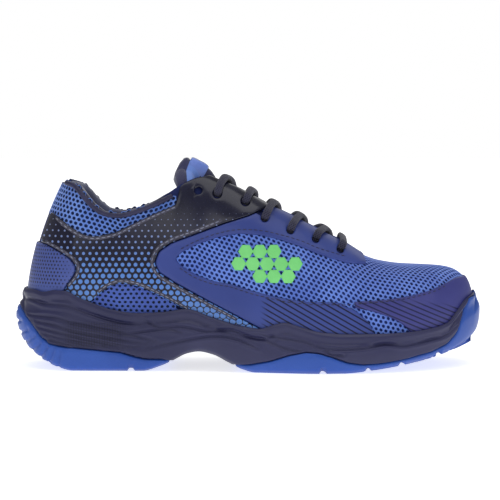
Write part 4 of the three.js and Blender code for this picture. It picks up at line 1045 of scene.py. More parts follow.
# %% Outlines
BELOW, ABOVE, AFT, FORE = -20, 220, -170, 170
MIDSOLE_TOP = [
    (-146, 47.5), (-140, 49), (-133.5, 49), (-127, 47.8), (-119.5, 49.2), (-113, 49), (-105, 45),
    (-98.6, 42.5), (-86, 38), (-70, 35.5), (-54, 36), (-38.4, 38), (-22.5, 33), (-3.5, 28), (7.3, 26.6),
    (15.5, 29), (22, 30.4),
    (31.4, 28), (44, 24.7), (60, 23.5), (75.8, 23.5), (94.8, 24), (113.8, 26), (124, 29)]
TOP_LINE = [
    (-122, 115.5), (-114, 117), (-107, 115), (-100.5, 109), (-95, 103), (-89, 98.5), (-80, 96.8),
    (-70, 99.2),
    (-60, 103.8), (-50, 110), (-42, 115.5), (-33, 119.5), (-22, 122)]
MESH_TOP = [
    (-121, 112.5), (-113, 114.5), (-107.5, 112.5), (-102.5, 106.5), (-97, 100.5), (-90.3, 96.3),
    (-80, 94.8),
    (-70, 97), (-58, 101.6), (-47, 106.8)]
MESH_FOOT = [
    (-128, 100), (-120.8, 96.3), (-111, 89.6), (-101.8, 84.6), (-95.4, 83.4), (-82.7, 85.8), (-70, 92),
    (-57.4, 97.8), (-46, 102.5)]
HEEL_EDGE = [(-133, 79), (-126, 77.6), (-117.6, 73.6), (-110, 68.8), (-106.8, 64), (-108, 59.5),
             (-112.5, 53.5),
             (-115.5, 48)]
SADDLE_REAR = [
    (7.5, 26.5), (-6.7, 34), (-25.7, 43.7), (-44.7, 54), (-55.5, 61), (-58.2, 67), (-55.5, 74),
    (-47.9, 79.2),
    (-32, 85), (-16, 91), (-0.3, 96), (12, 101.3)]
WINDOW_TOP = [(-99, 41), (-92, 47.6), (-86, 52), (-79.6, 54), (-70, 52.6), (-60.5, 48.8), (-47.9, 42.5),
              (-38.4, 37)]
VENT_TOP = [
    (-45.3, 69.5), (-41.5, 73.4), (-32, 78.2), (-19.3, 82.7), (-6.7, 85), (7.3, 84.2), (18.7, 81.6),
    (31.4, 77.6),
    (40.9, 73.5), (50.4, 70.4), (60, 67.4), (74, 66)]
VENT_FOOT = [(56, 43.6), (37, 44), (23.8, 45.4), (13, 47.6), (0.3, 50.7), (-11, 54.2), (-22.5, 56),
             (-33, 59.8),
             (-42, 65.5)]
CAP_TOP = [(56, 43.4), (69.4, 44.2), (85.3, 45.2), (101, 47.2), (113.8, 50), (123.3, 53.6), (130, 56.5)]
CAP_FOOT = [(104, 20), (94.8, 29.2), (88.5, 33.2), (75.8, 37.8), (60, 40.8)]

collar_opening = knife([(AFT, 117.5), (-128, 116), *TOP_LINE, (-10, 140), (-10, ABOVE), (AFT, ABOVE)])
under_topline = outside(collar_opening)
collar_mesh_area = knife([(AFT, 101), *MESH_FOOT, (-44.4, 104.2), *MESH_TOP[::-1], (AFT, 112.5)])
collar_band = knife([(AFT, 101), *MESH_FOOT, (-42, 104), (-30, 125), (-30, ABOVE), (AFT, ABOVE)])
heel_area = knife([(AFT, 81), *HEEL_EDGE, (-117, 40), (-117, BELOW), (AFT, BELOW)])
strap_area = knife([
    (AFT, 81.4), *HEEL_EDGE, (-116.5, 40), (-116, 34), (-101, 34), *WINDOW_TOP, (-36, 30), (-10, 22),
    (6, 20), *SADDLE_REAR, (15.5, 103.5), (13, 118), (-10, 135), (-30, 135), (-42, 116),
    *MESH_FOOT[::-1],
    (AFT, 101)],
    radius=0.8)
window_area = knife([(-106, 30), (-106, 48), (-95, 60), (-76, 66), (-50, 56), (-31, 42), (-31, 28)])
vent_area = knife([*VENT_TOP, (90, 67), (110, 44), *VENT_FOOT])
saddle_area = knife([
    *SADDLE_REAR, (15.5, 118), (40, 108), (70, 90), (73.5, 66), (72, 64), (60, 64), (60, 50), (61, 43),
    (66, 38),
    (74, 31), (78, 22), (70, 14), (20, 14)])
cap_area = knife([*CAP_TOP, (FORE, 60), (FORE, BELOW), (108, BELOW), *CAP_FOOT])
punched = both(throat, under_topline, holes(2.2))
lateral_half = lambda p: -(p[..., 1]) - 0.15
medial_half = lambda p: p[..., 1] - 0.15

OVER_LOW, OVER_HIGH = GAP, GAP + OVERLAY
SIDES = ((0, "lateral"), (1, "medial"))

# %% [markdown]
# ## Fused and coated panels
# The strap is a shiny film that carries the lacing load down to the arch. The saddle frames
# the mesh window, and the heel panel and toe cap are coated leather. All are cut from the
# net with one call each. The eyelets are punched through them.


# %% Panels
def dress(thing, slot, *nodes, body="shoe"):
    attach(thing, body)
    if nodes:
        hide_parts(*nodes)
    return thing


heel_panel = cut("heel_panel_coat", both(heel_area, under_topline), OVER_LOW, OVER_HIGH, [HEEL_COAT])
dress(heel_panel, "heel_blue", "heel_panel")
toe_cap = cut("toe_cap_coat", cap_area, OVER_LOW, OVER_HIGH, [CAP], edge=1.4)
dress(toe_cap, "toe_cap_navy", "toe_cap")
saddle_field = both(saddle_area, outside(strap_area, 0.1), outside(vent_area), outside(cap_area, 0.3),
                    punched)
strap_field = both(strap_area, punched)
window_field = both(window_area, outside(strap_area, 0.1))
for s, word in SIDES:
    strap = cut(f"strap_{word}_film", strap_field, OVER_LOW, OVER_HIGH, [FILM], sides=(s,), edge=1.0)
    dress(strap, "film_gloss", f"strap_{word}")
    saddle = cut(f"saddle_{word}_coat", saddle_field, OVER_LOW, OVER_HIGH, [SADDLE], sides=(s,), edge=1.0)
    dress(saddle, "saddle_blue", f"saddle_{word}")

# %% [markdown]
# ## Spacer mesh with real holes
# The mesh cloth is a hexagonal net of yarn bars round open cells. Each cell is the same few
# faces: a rounded bar top, a wall and a dark floor. The floor has the dark liner's own colour;
# the dark of the wall is painted shade in the hole. The cells are laid out in the cloth's own
# millimetres: x along the shoe and the length down the section from the ridge. Corners that
# two cells share are one point, so the whole net is a single closed piece.


# %% Netting
def cloth_tables(step=0.5):
    """For each x and each length up from the feather line: net column and row, per side."""
    xs = np.arange(-60, 139, 1.0)
    lengths = np.arange(0, 140, step)
    col = np.zeros((2, len(xs), len(lengths)))
    row = np.zeros_like(col)
    total = np.zeros((2, len(xs)))
    js = np.arange(UPPER_ROWS)
    ahead = np.arange(UPPER_COLUMNS)
    for s in (0, 1):
        at = np.stack([np.interp(xs, upper.P[s, :, j, 0], ahead) for j in js], 1)
        where = upper.sample(s, at, np.broadcast_to(js.astype(float), at.shape))
        steps = np.hypot(np.diff(where[..., 1], axis=1), np.diff(where[..., 2], axis=1))
        arc = np.concatenate([np.zeros((len(xs), 1)), np.cumsum(steps, axis=1)], 1)
        stuck = at >= UPPER_COLUMNS - 1.001
        last_row = np.where(stuck.any(1), stuck.argmax(1), UPPER_ROWS - 1)
        total[s] = arc[np.arange(len(xs)), last_row]
        for k in range(len(xs)):
            row[s, k] = np.interp(lengths, arc[k], js)
            col[s, k] = np.interp(row[s, k], js, at[k])
    start = np.searchsorted(xs, -33)
    total[:, :start] = total[:, start:start + 1]
    return xs, lengths, col, row, total


cloth_x, cloth_s, cloth_col, cloth_row, cloth_total = cloth_tables()


def on_cloth(a, b):
    """Cloth place (x, signed length from the ridge) as net side, column and row."""
    side = (b > 0).astype(int)
    k = np.clip((a - cloth_x[0]) / 1.0, 0, len(cloth_x) - 1.001)
    k0, t = k.astype(int), k - k.astype(int)
    total = cloth_total[side, k0] * (1 - t) + cloth_total[side, k0 + 1] * t
    m = (total - np.abs(b)) / (cloth_s[1] - cloth_s[0])
    valid = m > 0
    m = np.clip(m, 0, len(cloth_s) - 1.001)
    m0, q = m.astype(int), m - m.astype(int)
    out = []
    for table in (cloth_col, cloth_row):
        near = table[side, k0, m0] * (1 - q) + table[side, k0, m0 + 1] * q
        far = table[side, k0 + 1, m0] * (1 - q) + table[side, k0 + 1, m0 + 1] * q
        out.append(near * (1 - t) + far * t)
    return side, out[0], out[1], valid


def by_columns(row, scale_j):
    """Cloth place from the length along one row of the net, for bands round the heel."""
    gaps = np.linalg.norm(np.diff(upper.P[:, :, row], axis=1), axis=2)
    arc = np.concatenate([np.zeros((2, 1)), np.cumsum(gaps, axis=1)], 1)
    ahead = np.arange(UPPER_COLUMNS)

    def place(a, b):
        side = (a > 0).astype(int)
        i = np.where(side == 0, np.interp(np.abs(a), arc[0], ahead), np.interp(np.abs(a), arc[1], ahead))
        return side, i, b / scale_j, b > 0
    return place


HEX_TURN = np.pi / 6 + np.arange(6) * np.pi / 3


def netting(name, place, span_a, span_b, pitch, hole, field, finishes, heights, stretch=(1.0, 1.0),
            margin=-0.9):
    """Hexagonal net: cell corners at pitch/sqrt(3), hole rim at a share of that.
    heights = offsets of corner, hole rim, hole floor and under side."""
    rise = pitch * math.sqrt(3) / 2
    n = np.arange(math.floor(span_b[0] / rise), math.ceil(span_b[1] / rise))
    m = np.arange(math.floor(span_a[0] / pitch), math.ceil(span_a[1] / pitch))
    nn, mm = np.meshgrid(n, m, indexing="ij")
    ca, cb = (mm + 0.5 * (nn % 2)).ravel() * pitch, nn.ravel() * rise
    side, i, j, valid = place(ca, cb)
    middle = np.empty((len(ca), 3))
    for s in (0, 1):
        middle[side == s] = upper.at(s, i[side == s], j[side == s], heights[0])
    keep = valid & (field(middle) > margin)
    ca, cb = ca[keep], cb[keep]
    reach = pitch / math.sqrt(3)
    cos, sin = np.cos(HEX_TURN), np.sin(HEX_TURN)
    ka = ca[:, None] + reach * cos
    kb = cb[:, None] + reach * sin
    code = np.round(np.stack([ka, kb], -1) / (pitch / 12)).astype(int).reshape(-1, 2)
    _, first, shared = np.unique(code, axis=0, return_index=True, return_inverse=True)
    shared = shared.reshape(-1, 6)
    count = len(first)

    def lay(a, b, offset):
        s, i, j, _ = place(a.ravel(), b.ravel())
        out = np.empty((len(i), 3))
        for k in (0, 1):
            out[s == k] = upper.at(k, i[s == k], j[s == k], offset)
        return out

    corner_a, corner_b = ka.ravel()[first], kb.ravel()[first]
    rim_a = ca[:, None] + reach * hole * stretch[0] * cos
    rim_b = cb[:, None] + reach * hole * stretch[1] * sin
    points = np.concatenate([lay(corner_a, corner_b, heights[0]), lay(rim_a, rim_b, heights[1]),
                             lay(rim_a, rim_b, heights[2]), lay(corner_a, corner_b, heights[3])])
    cells = len(ca)
    rim = count + np.arange(cells * 6).reshape(-1, 6)
    floor = rim + cells * 6
    under = shared + count + cells * 12
    nxt = np.roll(np.arange(6), -1)
    top = np.stack([shared, shared[:, nxt], rim[:, nxt], rim], -1).reshape(-1, 4)
    wall = np.stack([rim, rim[:, nxt], floor[:, nxt], floor], -1).reshape(-1, 4)
    base = np.concatenate([floor[:, [0, 1, 2, 3]], floor[:, [0, 3, 4, 5]]])
    back = np.concatenate([under[:, [3, 2, 1, 0]], under[:, [5, 4, 3, 0]]])
    e0, e1 = shared.ravel(), shared[:, nxt].ravel()
    alone = ~np.isin(e0 * count + e1, e1 * count + e0)
    drop = count + cells * 12
    edge = np.stack([e1[alone], e0[alone], e0[alone] + drop, e1[alone] + drop], -1)
    faces = np.concatenate([top, wall, base, back, edge])
    # Walls, floor, under side and edge take the dark hole finish: liner colour on the floor, painted shade
    # on the walls.
    slots = (np.arange(len(faces)) >= len(top)).astype(int)
    print(f"{name}: {cells} cells")
    return piece(name, points, outward_faces(points, faces, top), finishes, slots, join=False)


front_area = knife([(52, 12), (62, 90), (FORE, 90), (FORE, 12)])
vamp_area = both(either(vent_area, both(front_area, outside(saddle_area))), outside(cap_area), throat,
                 under_topline)
vamp_net = netting("vamp_mesh_cloth", on_cloth, (-50, 137), (-110, 110), 3.05, 0.60,
                   both(vamp_area, throat), [YARN, VAMP_HOLE_LINER_AND_SHADE], (0.26, 0.02, -0.9, -1.25), margin=-3.2)
dress(vamp_net, "mesh_blue", "vamp")
backing = cut("vamp_backing_cloth",
              both(knife([(-52, 8), (-52, 92), (-44, 103), (-40, 125), (FORE, 125), (FORE, 8)]),
                                         throat, under_topline),
              -1.6, -1.28, [BACKING], edge=0.5)
dress(backing, "mesh_blue")
mid_row = int(np.argmin(np.abs(upper.P[0, 20, :, 2] - 103)))
row_mm = float(np.linalg.norm(np.diff(upper.P[0, 20, 60:100], axis=0), axis=1).mean())
collar_net = netting("collar_mesh_cloth", by_columns(mid_row, row_mm), (-120, 120), (20, 140), 3.25, 0.62,
                     both(collar_mesh_area, under_topline), [COLLAR_YARN, COLLAR_HOLE_LINER_AND_SHADE],
                     (0.26, 0.05, -0.85, -1.25), (1.05, 1.0), margin=-2.2)
dress(collar_net, "collar_mesh", "collar_mesh")
collar_back = cut("collar_backing_cloth", both(collar_band, under_topline), -1.6, -1.28, [BACKING], edge=0.5)
dress(collar_back, "collar_mesh")
for s, word in SIDES:
    half = (lateral_half, medial_half)[s]
    low_row = by_columns(18, 1.0)
    window = netting(f"window_{word}_mesh", low_row, (-110, 0) if s == 0 else (0, 110), (0, 60), 3.5, 0.50,
                     both(window_field, half), [WINDOW_YARN, WINDOW_HOLE_LINER_AND_SHADE], (0.95, 0.78, 0.1, -0.1),
                     margin=-0.6)
    dress(window, "window_mesh", f"rear_window_{word}")
    rear = cut(f"quarter_{word}_cloth",
               both(knife([(AFT, 8), (AFT, 101), *MESH_FOOT, (-46, 102), (-52, 92), (-52, 8)]),
                    under_topline),
               -1.6, 0.0, [BACKING], sides=(s,), edge=0.6)
    dress(rear, "mesh_blue", f"quarter_{word}")

# %% [markdown]
# ## Raised print
# The green mark on the side is a plain patch of honeycomb cells, printed thick enough to
# feel. Each cell is a low hexagonal pad whose edge is rounded over.


# %% Honeycomb print
CELL = 5.0
CELL_PLACES = np.array([(-2, 0), (-1, 0), (0, 0), (1, 0), (2, 0), (-1.5, 0.866), (-0.5, 0.866), (0.5, 0.866),
                        (-0.5, -0.866), (0.5, -0.866), (1.5, -0.866)])
PRINT_MIDDLE = np.array([11, 66.5])


def honeycomb(side, word):
    """Rings of each hexagon shrink toward its middle while the height rises by a quarter circle."""
    share = np.array([1.0, 0.985, 0.94, 0.86, 0.45, 0.0])
    height = np.array([0.05, 0.45, 0.68, 0.78, 0.80, 0.80])
    edge = 24
    turn = np.arange(edge) / edge * 2 * np.pi
    hexagon = np.cos(np.pi / 6) / np.cos((turn + np.pi / 6) % (np.pi / 3) - np.pi / 6)
    ring = np.stack([np.cos(turn + np.pi / 6), np.sin(turn + np.pi / 6)], -1)
    ring = ring * (hexagon / hexagon.max())[:, None] * CELL * 0.93
    places = PRINT_MIDDLE + CELL_PLACES * CELL * math.sqrt(3)
    flat = places[:, None, None] + ring[None, None] * share[None, :, None, None]
    u, v = on_side(flat[..., 0], flat[..., 1])
    points = off_last(side * u, v, np.broadcast_to(height[None, :, None], u.shape) + 0.0)
    rings = len(share)
    one = grid_faces(rings, edge, wrap_rows=True)
    faces = np.concatenate([one + k * rings * edge for k in range(len(places))])
    if side > 0:
        faces = faces[:, ::-1]
    thing = piece(f"honeycomb_print_{word}", points.reshape(-1, 3), faces, [GREEN])
    return dress(thing, "print_green", f"hex_print_{word}")


for side, word in ((-1, "lateral"), (1, "medial")):
    honeycomb(side, word)

# %% [markdown]
# ## Inside of the upper
# Under the panels a shoe has a stiff heel counter, a toe puff and a thin textile lining. They
# are hardly seen, but the foot opening shows the lining, so they follow the same last.

# %% Stiffeners and lining
STIFF = (UNDER - STIFFENER, UNDER)
LINED = (STIFF[0] - GAP - LINING, STIFF[0] - GAP)
counter = cut("heel_counter_shell",
              knife([(AFT, 72), (-125, 72), (-105, 66), (-88, 52), (-80, 34), (-80, 30),
                                           (AFT, 30)]), *STIFF, [STIFF_BOARD], edge=0.8)
dress(counter, "plate_black", "heel_counter")
puff = cut("toe_puff_shell", knife([(FORE, 52), (122, 50), (104, 44), (96, 34), (96, 22), (FORE, 22)]),
           *STIFF, [STIFF_BOARD], edge=0.8)
dress(puff, "plate_black", "toe_puff")
lining_area = knife([(AFT, 84), (-125, 84), (-100, 80), (-60, 88), (-48, 92), (-20, 76), (30, 54), (60, 42),
                     (60, 22), (10, 22), (-60, 30), (AFT, 33)])
for s, word in SIDES:
    lining = cut(f"lining_{word}_cloth", lining_area, *LINED, [LINING_CLOTH], sides=(s,), edge=0.5)
    dress(lining, "lining_navy", f"quarter_lining_{word}")

# %% [markdown]
# ## Padded collar
# The collar is a foam roll wrapped in brushed lining. Its section is drawn once, as heights
# along the last and depths into the shoe, and carried round the top line from one side of
# the tongue to the other. The rim follows the height of the top line at every station.


# %% Collar
def height_on(w, line):
    """Share v at which the last has the height of a line z(x), by halving."""
    xs, zs = np.array([(AFT, line[0][1] + 1.5)] + line, float).T
    low, high = np.zeros(len(w)), row_top(station_x(np.abs(w)))
    for _ in range(30):
        v = (low + high) / 2
        p = last(w, v)
        less = p[:, 2] < np.interp(p[:, 0], xs, zs)
        low, high = np.where(less, v, low), np.where(less, high, v)
    return low


COLLAR_END = -52.5
COLLAR_SECTION = [
    (-3.6, -1.9), (-3.0, -0.5), (-2.2, 0.25), (-1.2, 0.35), (-0.1, -0.6), (0.6, -2.6), (0.7, -4.9),
    (0.0, -7.2), (-2.2, -8.8), (-6, -9.6), (-12, -10.0), (-18, -9.4), (-25, -7.6), (-31, -5.4),
    (-33, -4.6), (-33, -3.7),
    (-28, -3.0), (-20, -2.2), (-10, -1.95)]


def collar():
    u_end = float(on_side(COLLAR_END, np.interp(COLLAR_END, *np.array(TOP_LINE).T))[0])
    w = np.linspace(-u_end, u_end, 190)
    v_top = height_on(w, TOP_LINE)
    rate = np.linalg.norm(last(w, v_top + 0.002) - last(w, v_top - 0.002), axis=-1) / 0.004
    loop = rounded(COLLAR_SECTION, 0.8, 0.9)
    drop = loop[None, :, 0]
    fade = np.clip((u_end - np.abs(w)) / 0.035, 0, 1)[:, None]
    shrink = 0.35 + 0.65 * np.sqrt(1 - (1 - fade) ** 2)
    middle = np.array([-9.0, -4.8])
    h = middle[0] + (drop - middle[0]) * np.where(drop < middle[0], shrink * 0.9 + 0.1, 1)
    o = middle[1] + (loop[None, :, 1] - middle[1]) * (0.55 + 0.45 * shrink)
    crease = 0.5 * np.exp(-((h + 7.5) / 1.2) ** 2) * (o < -6)
    v = np.clip(v_top[:, None] + h / rate[:, None], 0, 1)
    points = off_last(np.broadcast_to(w[:, None], v.shape), v, o + crease)
    n, m = v.shape
    ends = np.stack([points[0].mean(0), points[-1].mean(0)])
    k = np.arange(m)
    k2 = (k + 1) % m
    start = np.stack([k2, k, np.full(m, n * m), np.full(m, n * m)], -1)
    base = (n - 1) * m
    finish = np.stack([base + k, base + k2, np.full(m, n * m + 1), np.full(m, n * m + 1)], -1)
    net = grid_faces(n, m, wrap_rows=True)[:, ::-1]
    faces = np.concatenate([net, start, finish])
    outer = (loop[:, 1] > -1.3) & (loop[:, 0] > -5)
    slots = np.concatenate([np.tile(outer, n - 1), np.zeros(2 * m)]).astype(int)
    points = np.concatenate([points.reshape(-1, 3), ends])
    return piece("padded_collar", points, faces, [LINING_CLOTH, PIPING], slots, join=False)


def face_out(thing):
    """Faces turned outward, after the mesh is whole."""
    work = bmesh.new()
    work.from_mesh(thing.data)
    bmesh.ops.remove_doubles(work, verts=work.verts, dist=1e-6)
    bmesh.ops.recalc_face_normals(work, faces=work.faces)
    work.to_mesh(thing.data)
    work.free()
    return thing


padded_collar = face_out(collar())
dress(padded_collar, "lining_navy", "collar_pad", "topline_binding", "collar_lining")

# %% [markdown]
# ## Padded tongue
# The tongue is two cloths with foam between them. It is a pillow: a middle surface under the
# lace, and a thickness that falls to nothing at the edges by a root curve. The stitched
# channels across its top are shallow valleys in that thickness.

# %% Tongue
TONGUE_FRONT, TONGUE_END = 62, -42
LACE_ROOM = UNDER - LACE - 2.4
tongue_room = through((-42, UNDER - 4 * GAP), (-34, UNDER - 4 * GAP), (-28, LACE_ROOM), (70, LACE_ROOM))
tongue_rise = through((-42, 3), (-30, 3.3), (-25, 2.4), (-20, -0.8), (-14, LACE_ROOM), (70, LACE_ROOM))
tongue_thick = through((-42, 11), (-26, 11), (-8, 5), (62, 5))
tongue_foot = through((-42, 0.67), (-20, 0.6), (20, 0.62), (62, 0.7))


def smoothstep(x, low, high):
    t = np.clip((x - low) / (high - low), 0, 1)
    return t * t * (3 - 2 * t)


def tongue_face(x, a):
    """Outer face of the tongue, its ridge direction and its depth, at share a across."""
    side = np.where(a < 0, -1.0, 1.0)
    u = station_of(x)
    v = 1 - (1 - tongue_foot(x)) * np.abs(a)
    from_centre = np.abs(last(side * u, v)[..., 1] - centre(x))
    top = tongue_room(x) + (tongue_rise(x) - tongue_room(x)) * (1 - smoothstep(from_centre, THROAT * 0.28,
                                                                               THROAT * 0.46))
    ridge = unit(off_last(u, np.ones_like(u), 1.0) - last(u, np.ones_like(u)))
    depth = tongue_thick(x) * (1 - 0.55 * np.abs(a) ** 3)
    return off_last(side * u, v, top), ridge, depth


def tongue():
    n, m = 130, 61
    t = np.linspace(-1, 1, n)
    a = np.linspace(-1, 1, m)
    x = (TONGUE_FRONT + TONGUE_END) / 2 + (TONGUE_FRONT - TONGUE_END) / 2 * t
    xx, aa = np.meshgrid(x, a, indexing="ij")
    tt = np.broadcast_to(t[:, None], xx.shape)
    face, ridge, depth = tongue_face(xx, aa)
    swell = np.sqrt(np.clip(1 - np.abs(aa) ** 12, 0, 1)) * np.sqrt(np.clip(1 - np.abs(tt) ** 40, 0, 1))
    channel = 0.0
    for line in (-37.5, -27.5):
        channel = channel + 0.9 * np.exp(-((xx - line) / 0.8) ** 2) * (np.abs(aa) < 0.95)
    middle = face - ridge * (depth / 2)[..., None]
    up = middle + ridge * (depth / 2 * swell - channel)[..., None]
    down = middle - ridge * (depth / 2 * swell)[..., None]
    points = np.concatenate([up.reshape(-1, 3), down.reshape(-1, 3)])
    net = grid_faces(n, m)
    faces = np.concatenate([net, net[:, ::-1] + n * m])
    cx = xx.reshape(-1)[net].mean(1)
    top_slots = np.where((cx > -36.8) & (cx < -28), 2, 0)
    slots = np.concatenate([top_slots, np.ones(len(net))])
    thing = piece("padded_tongue", points, faces, [TONGUE_CLOTH, LINING_CLOTH, TONGUE_MESH], slots,
                  join=False)
    return face_out(thing)


TONGUE_CLOTH = plain("tongue_cloth", (0.020, 0.021, 0.065), (0.04, 0.042, 0.11), (0.75, 0.9), 45, 2000,
                     0.0003, 0.8, Sheen_Weight=0.5)
TONGUE_MESH = plain("tongue_mesh", (0.12, 0.22, 0.62), (0.18, 0.30, 0.74), (0.7, 0.85), 50, 1500, 0.0003,
                    0.9,
                    Sheen_Weight=0.3)
BADGE = plain("badge_film", (0.13, 0.21, 0.60), (0.18, 0.27, 0.70), (0.25, 0.4), 60, 1400, 0.00006, 0.4,
              Coat_Weight=0.5)
padded_tongue = tongue()
dress(padded_tongue, "lining_navy", "tongue", "tongue_lining", body="tongue")


def badge():
    """Low pad on the tongue: height = 1.3 mm times a root curve of both distances from its edge."""
    n, m = 34, 30
    t, a = np.linspace(-1, 1, n), np.linspace(-1, 1, m)
    tt, aa = np.meshgrid(t, a, indexing="ij")
    tt = tt * (1 - 0.12 * np.abs(aa) ** 4)
    x = -31.5 + 5.6 * tt
    rise = 1.2 * (np.clip(1 - np.abs(tt) ** 10, 0, 1) * np.clip(1 - np.abs(aa) ** 10, 0, 1)) ** 0.5
    face, ridge, _ = tongue_face(x, aa * 0.24)
    top = face + ridge * (0.15 + rise)[..., None]
    low = face - ridge * 0.1
    net = grid_faces(n, m)
    thing = piece("tongue_badge_pad", np.concatenate([top.reshape(-1, 3), low.reshape(-1, 3)]),
                  np.concatenate([net, net[:, ::-1] + n * m]), [BADGE], join=True)
    return face_out(thing)


dress(badge(), "print_green", "tongue_badge", body="tongue")

# %% [markdown]
# ## Sockliner
# The removable insole is a die-cut foam with a cloth top and a rim that cups the foot. Each
# point lies between the feather line and a spine under the foot, at a share of the way out.

# %% Sockliner
SOCK_EDGE = 6.4


def sock_point(side, u, share, rise, inset=SOCK_EDGE):
    """Point = spine + (rim - spine) shortened by the inset, times the share; z runs with the share."""
    rim = last(side * u, 0.0)
    x = np.clip(station_x(u), HEEL_X + 36, TOE_X - 50)
    spine = np.stack([x, centre(x), feather_z(x)], -1)
    flat = rim - spine
    reach = np.linalg.norm(flat[..., :2], axis=-1)
    p = spine.copy()
    p[..., :2] += flat[..., :2] / reach[..., None] * ((reach - inset) * share)[..., None]
    p[..., 2] += flat[..., 2] * share + rise
    return p


def sockliner():
    share = np.sin(np.linspace(-1, 1, 45) * np.pi / 2)
    u = np.linspace(0, 1, 130)
    uu, ss = np.meshgrid(u, share, indexing="ij")
    side = np.where(ss < 0, -1.0, 1.0)
    a = np.abs(ss)
    cup = 2.5 * smoothstep(a, 0.70, 0.97)
    round_off = np.sqrt(np.clip(1 - a ** 60, 0, 1))
    ribs = -0.35 * (np.abs(((uu * 46) % 1) - 0.5) < 0.12) * (a < 0.6)
    top = sock_point(side, uu, a, SOCK_BASE + 2.5 + (2.5 + cup + ribs) * round_off)
    low = sock_point(side, uu, a, SOCK_BASE + 2.5 * (1 - round_off))
    net = grid_faces(*uu.shape)
    points = np.concatenate([top.reshape(-1, 3), low.reshape(-1, 3)])
    faces = np.concatenate([net, net[:, ::-1] + uu.size])
    slots = np.concatenate([np.zeros(len(net)), np.ones(len(net))])
    return face_out(piece("sockliner_foam", points, faces, [SOCK_CLOTH, STIFF_BOARD], slots, join=False))


SOCK_CLOTH = plain("sock_cloth", (0.05, 0.10, 0.42), (0.075, 0.14, 0.52), (0.8, 0.95), 30, 1800, 0.0003, 0.8,
                   Sheen_Weight=0.4)
insole = sockliner()
dress(insole, "foam", "sockliner", body="sockliner")

# %% [markdown]
# ## The sole's form
# Midsole and outsole come from one mould. Each station has a few rings: a flat ground ring, a
# rolled edge, the widest line, a waist and the lip under the upper. A centripetal curve runs
# through the rings, then over the lip and down the inside wall, so the midsole is one closed
# skin. The rubber is cut from the same net.

# %% Net of the sole
SOLE_HALF = 147.5
RUBBER = 3.4
CAVITY = GAP + OVERLAY + GAP
LIP = 1.8
SPINE_REAR, SPINE_FRONT = -104, 84
SOLE_HEEL_ROUND, SOLE_TOE_ROUND = 38, 60
TIP_START, TIP_BLEND = 122, 10
FLEX_GROOVES = (45, 73, 94, 118, -73)
GROOVE_WIDTH, GROOVE_DEPTH = 3.0, 1.8
sole_lateral = through((-147.5, 33), (-100, 37.5), (-70, 38), (-35, 40), (10, 49), (45, 55.6), (70, 54.6),
                       (105, 48), (147.5, 38))
sole_medial = through((-147.5, 33), (-100, 37.5), (-70, 36.5), (-35, 35), (10, 44.5), (45, 51.4), (75, 52.2),
                      (105, 48.5), (147.5, 38))
ground_z = through(
    (-147.5, 24), (-142, 16), (-136, 11), (-127, 5.5), (-118, 1.8), (-109, 0), (-66, 0), (-55, 3),
    (-47, 6.6), (-38, 11), (-31, 12.2), (-22, 10.4), (-13, 6), (-4, 1.8), (4, 0), (58, 0), (76, 1.6),
    (95, 4.2), (114, 7.6),
    (128, 11.5), (139, 16.5), (147.5, 22))
widest_z = through((-147.5, 34), (-120, 22), (-90, 17), (-40, 24), (20, 11), (90, 14), (120, 20),
                   (147.5, 36))
midsole_top = through(*MIDSOLE_TOP)
toe_top = through((124, 29), (130, 36), (137, 43), (147.5, 46.5))
sole_top_z = lambda x: np.where(x > 124, toe_top(x), midsole_top(x))


def from_spine(p):
    """Way in plan from the nearest point of the sole's spine, the centre line between two ends."""
    x = np.clip(p[..., 0], SPINE_REAR, SPINE_FRONT)
    return p[..., :2] - np.stack([x, centre(x)], -1)


def sole_x(u):
    return -SOLE_HALF + 2 * SOLE_HALF * (1 - np.cos(np.pi * u)) / 2


def sole_rim(side, u, inset):
    x = sole_x(u)
    half = np.where(side < 0, sole_lateral(x), sole_medial(x))
    ends = round_end(x + SOLE_HALF, SOLE_HEEL_ROUND) * round_end(SOLE_HALF - x, SOLE_TOE_ROUND)
    rim = np.stack([x, centre(x) + side * half * ends], -1)
    return rim - unit(from_spine(rim)) * inset


def sole_lip(side, u, reach, drop=0.0):
    x = sole_x(u)
    z = sole_top_z(x) - drop
    w = station_of(x)
    sx = station_x(w)
    foot = feather_z(sx)
    share = np.clip((z - foot) / (ridge_z(ridge_x(sx)) - foot), 0, 1)
    v = np.arcsin(share ** (1 / top_bulge(sx))) * 2 / np.pi
    p = off_last(side * w, v, reach)
    p[..., 2] = np.maximum(z, foot - GAP)
    return p


